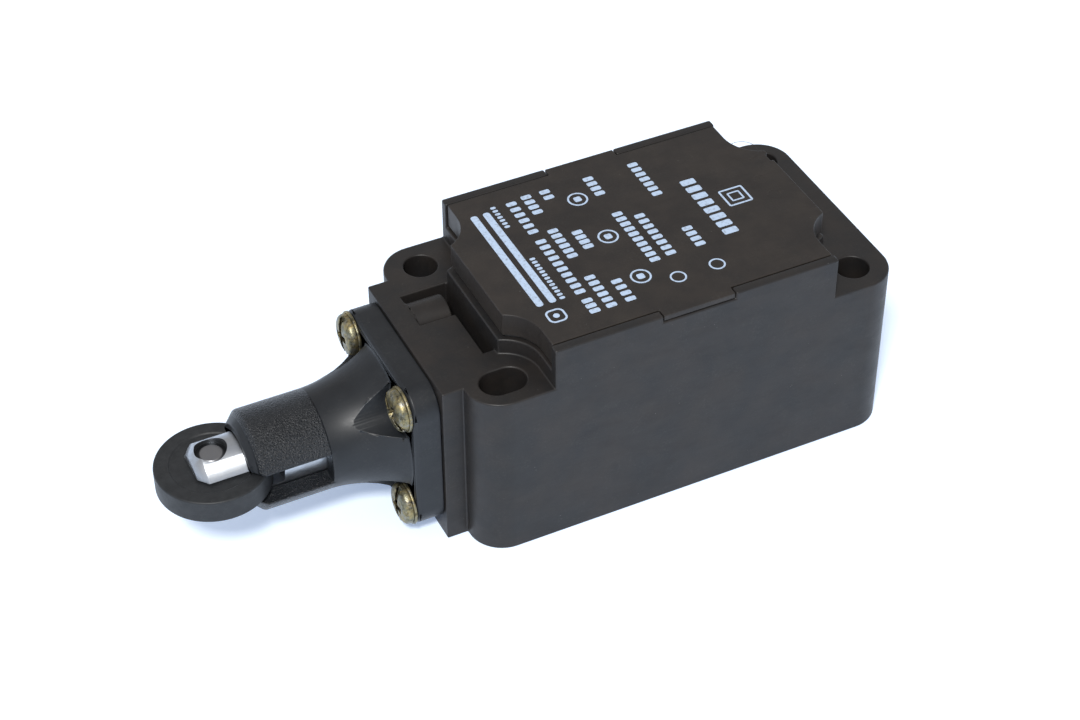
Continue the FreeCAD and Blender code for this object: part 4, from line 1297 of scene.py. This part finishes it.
@dataclass(frozen=True)
class Mark:
    """A flat rounded outline, or a filled one, that stands at one or more places."""

    wide: float
    long: float
    corner: float
    line: float
    places: tuple[tuple[float, float], ...]

    def mesh(self, name: str, level: float, thick: float, finish: Finish) -> bpy.types.Mesh:
        """Draws the mark as thin solids.

        Args:
            name: What the tree is called.
            level: The height of its underside, in metres.
            thick: How thick it is, in millimetres.
            finish: The finish that it takes.

        Returns:
            The mesh of every copy.
        """
        tree = ShapeTree(name)
        wide = tree.size("Width", self.wide)
        long = tree.size("Length", self.long)
        corner = tree.size("Corner", self.corner)
        outlines = tree.add("GeometryNodeJoinGeometry")
        tree.tree.links.new(self.outline(tree, wide, long, corner), outlines.inputs[0])
        if self.line:
            line = tree.size("Line", self.line)
            both = tree.times(line, 2.0)
            inner = self.outline(tree, tree.math("SUBTRACT", wide, both),
                                 tree.math("SUBTRACT", long, both), tree.math("SUBTRACT", corner, line))
            tree.tree.links.new(inner, outlines.inputs[0])
        filled = tree.add("GeometryNodeFillCurve", outlines.outputs[0]).outputs[0]
        raised = tree.named(tree.add("GeometryNodeExtrudeMesh", filled), Individual=False,
                            Offset=tree.vector(0.0, 0.0, 1.0), Offset_Scale=tree.size("Thickness", thick))
        under = tree.add("GeometryNodeFlipFaces", filled).outputs[0]
        closed = tree.add("GeometryNodeJoinGeometry")
        for part in (raised.outputs[0], under):
            tree.tree.links.new(part, closed.inputs[0])
        merged = tree.named(tree.add("GeometryNodeMergeByDistance", closed.outputs[0]), Distance=MERGE)
        tree.close(tree.stand(merged.outputs[0], (0.0, 0.0, 0.0)))
        return tree.apply([Vector((x * MM, y * MM, level)) for x, y in self.places], finish)

    def outline(self, tree: ShapeTree, wide: Value, long: Value, corner: Value) -> bpy.types.NodeSocket:
        """A rectangle with rounded corners.

        Args:
            tree: The geometry tree.
            wide: Its size along X.
            long: Its size along Y.
            corner: The radius of its corners.

        Returns:
            The closed curve.
        """
        sides = tree.named(tree.add("GeometryNodeCurvePrimitiveQuadrilateral"), Width=wide, Height=long)
        rounding = tree.add("GeometryNodeFilletCurve", mode="POLY")
        return tree.named(rounding, Curve=sides.outputs[0], Count=CORNER_POINTS, Radius=corner,
                          Limit_Radius=True).outputs[0]


BLOCK_PITCH = 1.5
BLOCK_CORNER = 0.3
CORNER_POINTS = 10


def dashes(x: float, wide: float, long: float, *spans: tuple[float, float]) -> Mark:
    """A row of plain blocks along Y, evenly spaced within each span.

    Args:
        x: Where the row lies along X.
        wide: How wide the row is.
        long: How long one block is.
        *spans: Where the groups of blocks start and end along Y.

    Returns:
        The row.
    """
    places = []
    for low, high in spans:
        count = max(1, round((high - low) / (long * BLOCK_PITCH)))
        pitch = (high - low) / count
        places += [(x, low + pitch * (block + 0.5)) for block in range(count)]
    return Mark(wide, long, BLOCK_CORNER, 0.0, tuple(places))


@dataclass
class CoverPrinting:
    """Generic printed marks: plain blocks, bars, rings and a frame, with no lettering."""

    thick: float = 0.02
    ring_sink: float = 1.4
    long: float = 0.95

    def build(self, top: float) -> None:
        """Makes the printing and the plain moulded rings.

        Args:
            top: The highest level that the printing may reach, in metres.
        """
        block = self.long
        printed = (
            Mark(1.15, 24.0, 0.5, 0.0, ((-21.3, 2.0), (-19.2, 2.0))),
            Mark(3.0, 3.0, 1.0, 0.32, ((-20.2, -12.9),)), Mark(1.0, 1.0, 0.5, 0.0, ((-20.2, -12.9),)),
            dashes(-17.6, 0.9, 0.55, (-10.0, 1.0), (9.0, 15.0)),
            dashes(-14.6, 1.7, block, (-15.0, -11.2), (-10.2, 4.5), (5.8, 15.0)),
            dashes(-11.8, 1.7, block, (-15.0, -6.5), (-2.0, 6.0), (10.0, 15.5)),
            dashes(-8.6, 1.7, block, (-15.0, -9.0), (-1.0, 4.0), (12.5, 15.5)),
            Mark(3.3, 3.3, 1.65, 0.3, ((-4.8, -10.3), (-4.8, 0.4), (-4.8, 10.8))),
            Mark(1.2, 1.2, 0.3, 0.0, ((-4.8, -10.3), (-4.8, 0.4), (-4.8, 10.8))),
            dashes(-1.0, 1.7, block, (-8.3, 5.4), (10.0, 15.4)),
            dashes(1.9, 1.7, block, (-8.0, 3.5)), dashes(7.0, 1.7, block, (-8.0, -2.5), (6.0, 15.6)),
            Mark(2.6, 2.6, 1.3, 0.28, ((0.2, -12.9), (6.9, -12.8))),
            dashes(12.7, 2.5, 1.35, (-7.5, 8.0)),
            Mark(4.2, 4.2, 0.35, 0.32, ((17.7, 0.7),)), Mark(2.2, 2.2, 0.25, 0.28, ((17.7, 0.7),)))
        moulded = (Mark(2.2, 2.2, 1.1, 0.16, ((23.3, 2.75), (23.4, -1.5))),
                   Mark(5.0, 5.0, 2.5, 0.08, ((24.5, 10.5), (-1.5, 17.2))))
        self.lay("cover_printing", printed, top - self.thick * MM, Finishes.INK.value)
        self.lay("cover_moulded_rings", moulded, top - self.thick * MM * self.ring_sink, Finishes.COVER.value)

    def lay(self, name: str, marks: Sequence[Mark], level: float, finish: Finish) -> None:
        """Joins marks into one piece that rides with the cover.

        Args:
            name: The piece's name.
            marks: The marks.
            level: The height of their underside, in metres.
            finish: Their finish.
        """
        whole = bmesh.new()
        for number, mark in enumerate(marks):
            whole.from_mesh(mark.mesh(name + "_" + str(number), level, self.thick, finish))
        mesh = bpy.data.meshes.new(name)
        whole.to_mesh(mesh)
        whole.free()
        place(name, mesh, finish, "cover_plastic", "cover")


@dataclass
class Casing:
    """The housing, its cover and the gasket between them."""

    edge: float = 0.3
    cover_edge: float = 0.16
    gasket_edge: float = 0.1
    ink_room: float = 0.02

    def build(self) -> None:
        """Makes the shells."""
        housing = rounded(cad_solid("housing"), self.edge)
        place("housing_shell", housing, Finishes.HOUSING.value, "housing_plastic", "housing")
        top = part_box("cover")[1].z
        cover = cad_solid("cover")
        for vert in cover.verts:
            vert.co.z = min(vert.co.z, top - self.ink_room * MM)
        place("cover_shell", rounded(cover, self.cover_edge), Finishes.COVER.value, "cover_plastic", "cover")
        CoverPrinting().build(top)
        EdgedPieces(Finishes.RUBBER.value, "seal_rubber", ("cover_gasket",), self.gasket_edge).build()


@dataclass
class ContactBlock:
    """The switching insert under the cover."""

    travel: float = 5.5
    screw_head: float = 3.0
    screw_squareness: float = 6.0

    def build(self) -> None:
        """Makes the block, its contacts, springs and screws."""
        EdgedPieces(Finishes.BLOCK.value, "block_plastic", ("contact_block_base", "contact_block_lid"),
                    0.25).build()
        EdgedPieces(Finishes.CARRIER.value, "carrier_plastic", ("contact_carrier",), 0.2).build()
        strips = tuple(kind + "_fixed_contact_" + side for kind in ("nc", "no") for side in ("left", "right"))
        EdgedPieces(Finishes.BRASS.value, "contact_brass",
                    ("nc_contact_bridge", "no_contact_bridge") + strips, 0.12).build()
        EdgedPieces(Finishes.CHROMATE.value, "chromated_steel", ("terminal_clamps",), 0.15).build()
        self.screws("terminal_screws", 2.0, 10.0)
        self.screws("block_screws", 2.0, 18.9)
        CoilSpring("carrier_spring", "contact_travel", self.travel, 0.8, 5.0).build()
        CoilSpring("contact_spring", "contact_travel", self.travel, 0.45, 3.0, squashes=False).build()

    def screws(self, node: str, head_height: float, reach: float) -> None:
        """Makes a set of upright slotted screws.

        Args:
            node: The frame node that they replace.
            head_height: How high a head is.
            reach: How long a shank is.
        """
        low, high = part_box(node)
        head = self.screw_head
        sides = sorted({round(low.x / MM + head, 3), round(high.x / MM - head, 3)})
        seats = [Vector((x * MM, y, high.z - head_height * MM)) for x in sides
                 for y in (low.y + head * MM, high.y - head * MM)]
        Screws(node + "_set", node, seats, (0.0, 0.0, 0.0), Finishes.CHROMATE.value, "chromated_steel",
               head_radius=head, head_height=head_height,
               squareness=self.screw_squareness, reach=reach,
               shank_radius=(1.75 if node == "terminal_screws" else 1.5), cross_reach=0.0).build()


# ---------------------------------------------------------------------------
# Floor, light and camera
# ---------------------------------------------------------------------------
@dataclass(frozen=True)
class Studio:
    """A plain pale floor in a soft tent, one light and the camera."""

    floor_half: float = 3.0
    floor_colour: Colour = (0.76, 0.83, 0.90)
    floor_glow: Colour = (0.24, 0.31, 0.45)
    low_sky: Colour = (0.72, 0.78, 0.88)
    middle_sky: Colour = (0.52, 0.50, 0.48)
    high_sky: Colour = (0.50, 0.50, 0.52)
    key_place: tuple[float, float, float] = (-0.365, -0.517, 0.775)
    key_size: float = 0.13
    key_power: float = 9.0
    key_colour: Colour = (1.0, 0.99, 0.97)
    camera_place: tuple[float, float, float] = (-141.18, -257.18, 267.63)
    camera_turn: tuple[float, float, float] = (48.729, 0.218, -26.023)
    lens: float = 80.86
    sensor: float = 36.0

    def build(self) -> None:
        """Makes the floor, the light and the camera."""
        self.floor()
        self.tent()
        self.key_light()
        self.camera()
        bpy.context.scene.view_settings.view_transform = "Standard"

    def floor(self) -> None:
        """Makes the floor, which is not part of the object."""
        half = self.floor_half
        mesh = bpy.data.meshes.new("floor")
        corners = [(-half, -half, 0), (half, -half, 0), (half, half, 0), (-half, half, 0)]
        mesh.from_pydata(corners, [], [(0, 1, 2, 3)])
        finish = Pattern("floor_finish")
        finish.named(finish.shader, Base_Color=opaque(self.floor_colour), Roughness=0.8,
                     Emission_Color=opaque(self.floor_glow), Emission_Strength=1.0)
        mesh.materials.append(finish.material)
        floor = bpy.data.objects.new("floor", mesh)
        bpy.context.scene.collection.objects.link(floor)

    def tent(self) -> None:
        """Lights the scene softly from all round, less from straight above."""
        world = bpy.data.worlds.new("tent")
        world.use_nodes = True
        steps = Graph(world.node_tree)
        rise = steps.add("ShaderNodeSeparateXYZ", steps.add("ShaderNodeTexCoord").outputs["Generated"])
        ramp = steps.add("ShaderNodeValToRGB", rise.outputs[2])
        points = ramp.color_ramp.elements
        points[0].position, points[0].color = 0.05, opaque(self.low_sky)
        points[1].position, points[1].color = 1.0, opaque(self.high_sky)
        points.new(0.5).color = opaque(self.middle_sky)
        world.node_tree.links.new(ramp.outputs[0], world.node_tree.nodes["Background"].inputs["Color"])
        bpy.context.scene.world = world

    def key_light(self) -> None:
        """Adds the one square light, small enough for a shadow, that faces the object."""
        light = bpy.data.lights.new("key_light", "AREA")
        light.size = self.key_size
        light.energy = self.key_power
        light.color = self.key_colour
        lamp = bpy.data.objects.new("key_light", light)
        lamp.location = self.key_place
        lamp.rotation_euler = (-Vector(self.key_place)).to_track_quat("-Z", "Y").to_euler()
        bpy.context.scene.collection.objects.link(lamp)

    def camera(self) -> None:
        """Makes the camera and gives it to the scene."""
        data = bpy.data.cameras.new("camera")
        data.lens = self.lens
        data.sensor_width = self.sensor
        data.clip_start = 0.01
        camera = bpy.data.objects.new("camera", data)
        camera.location = Vector(self.camera_place) * MM
        camera.rotation_euler = Euler([math.radians(turn) for turn in self.camera_turn])
        bpy.context.scene.collection.objects.link(camera)
        bpy.context.scene.camera = camera


def main() -> None:
    """Builds every part of the switch and its setting."""
    logging.basicConfig(level=logging.INFO, format="%(name)s: %(message)s")
    for assembly in (Casing(), OperatingHead(), PlungerSet(), ContactBlock(), Studio()):
        assembly.build()


if __name__ == "__main__":
    main()
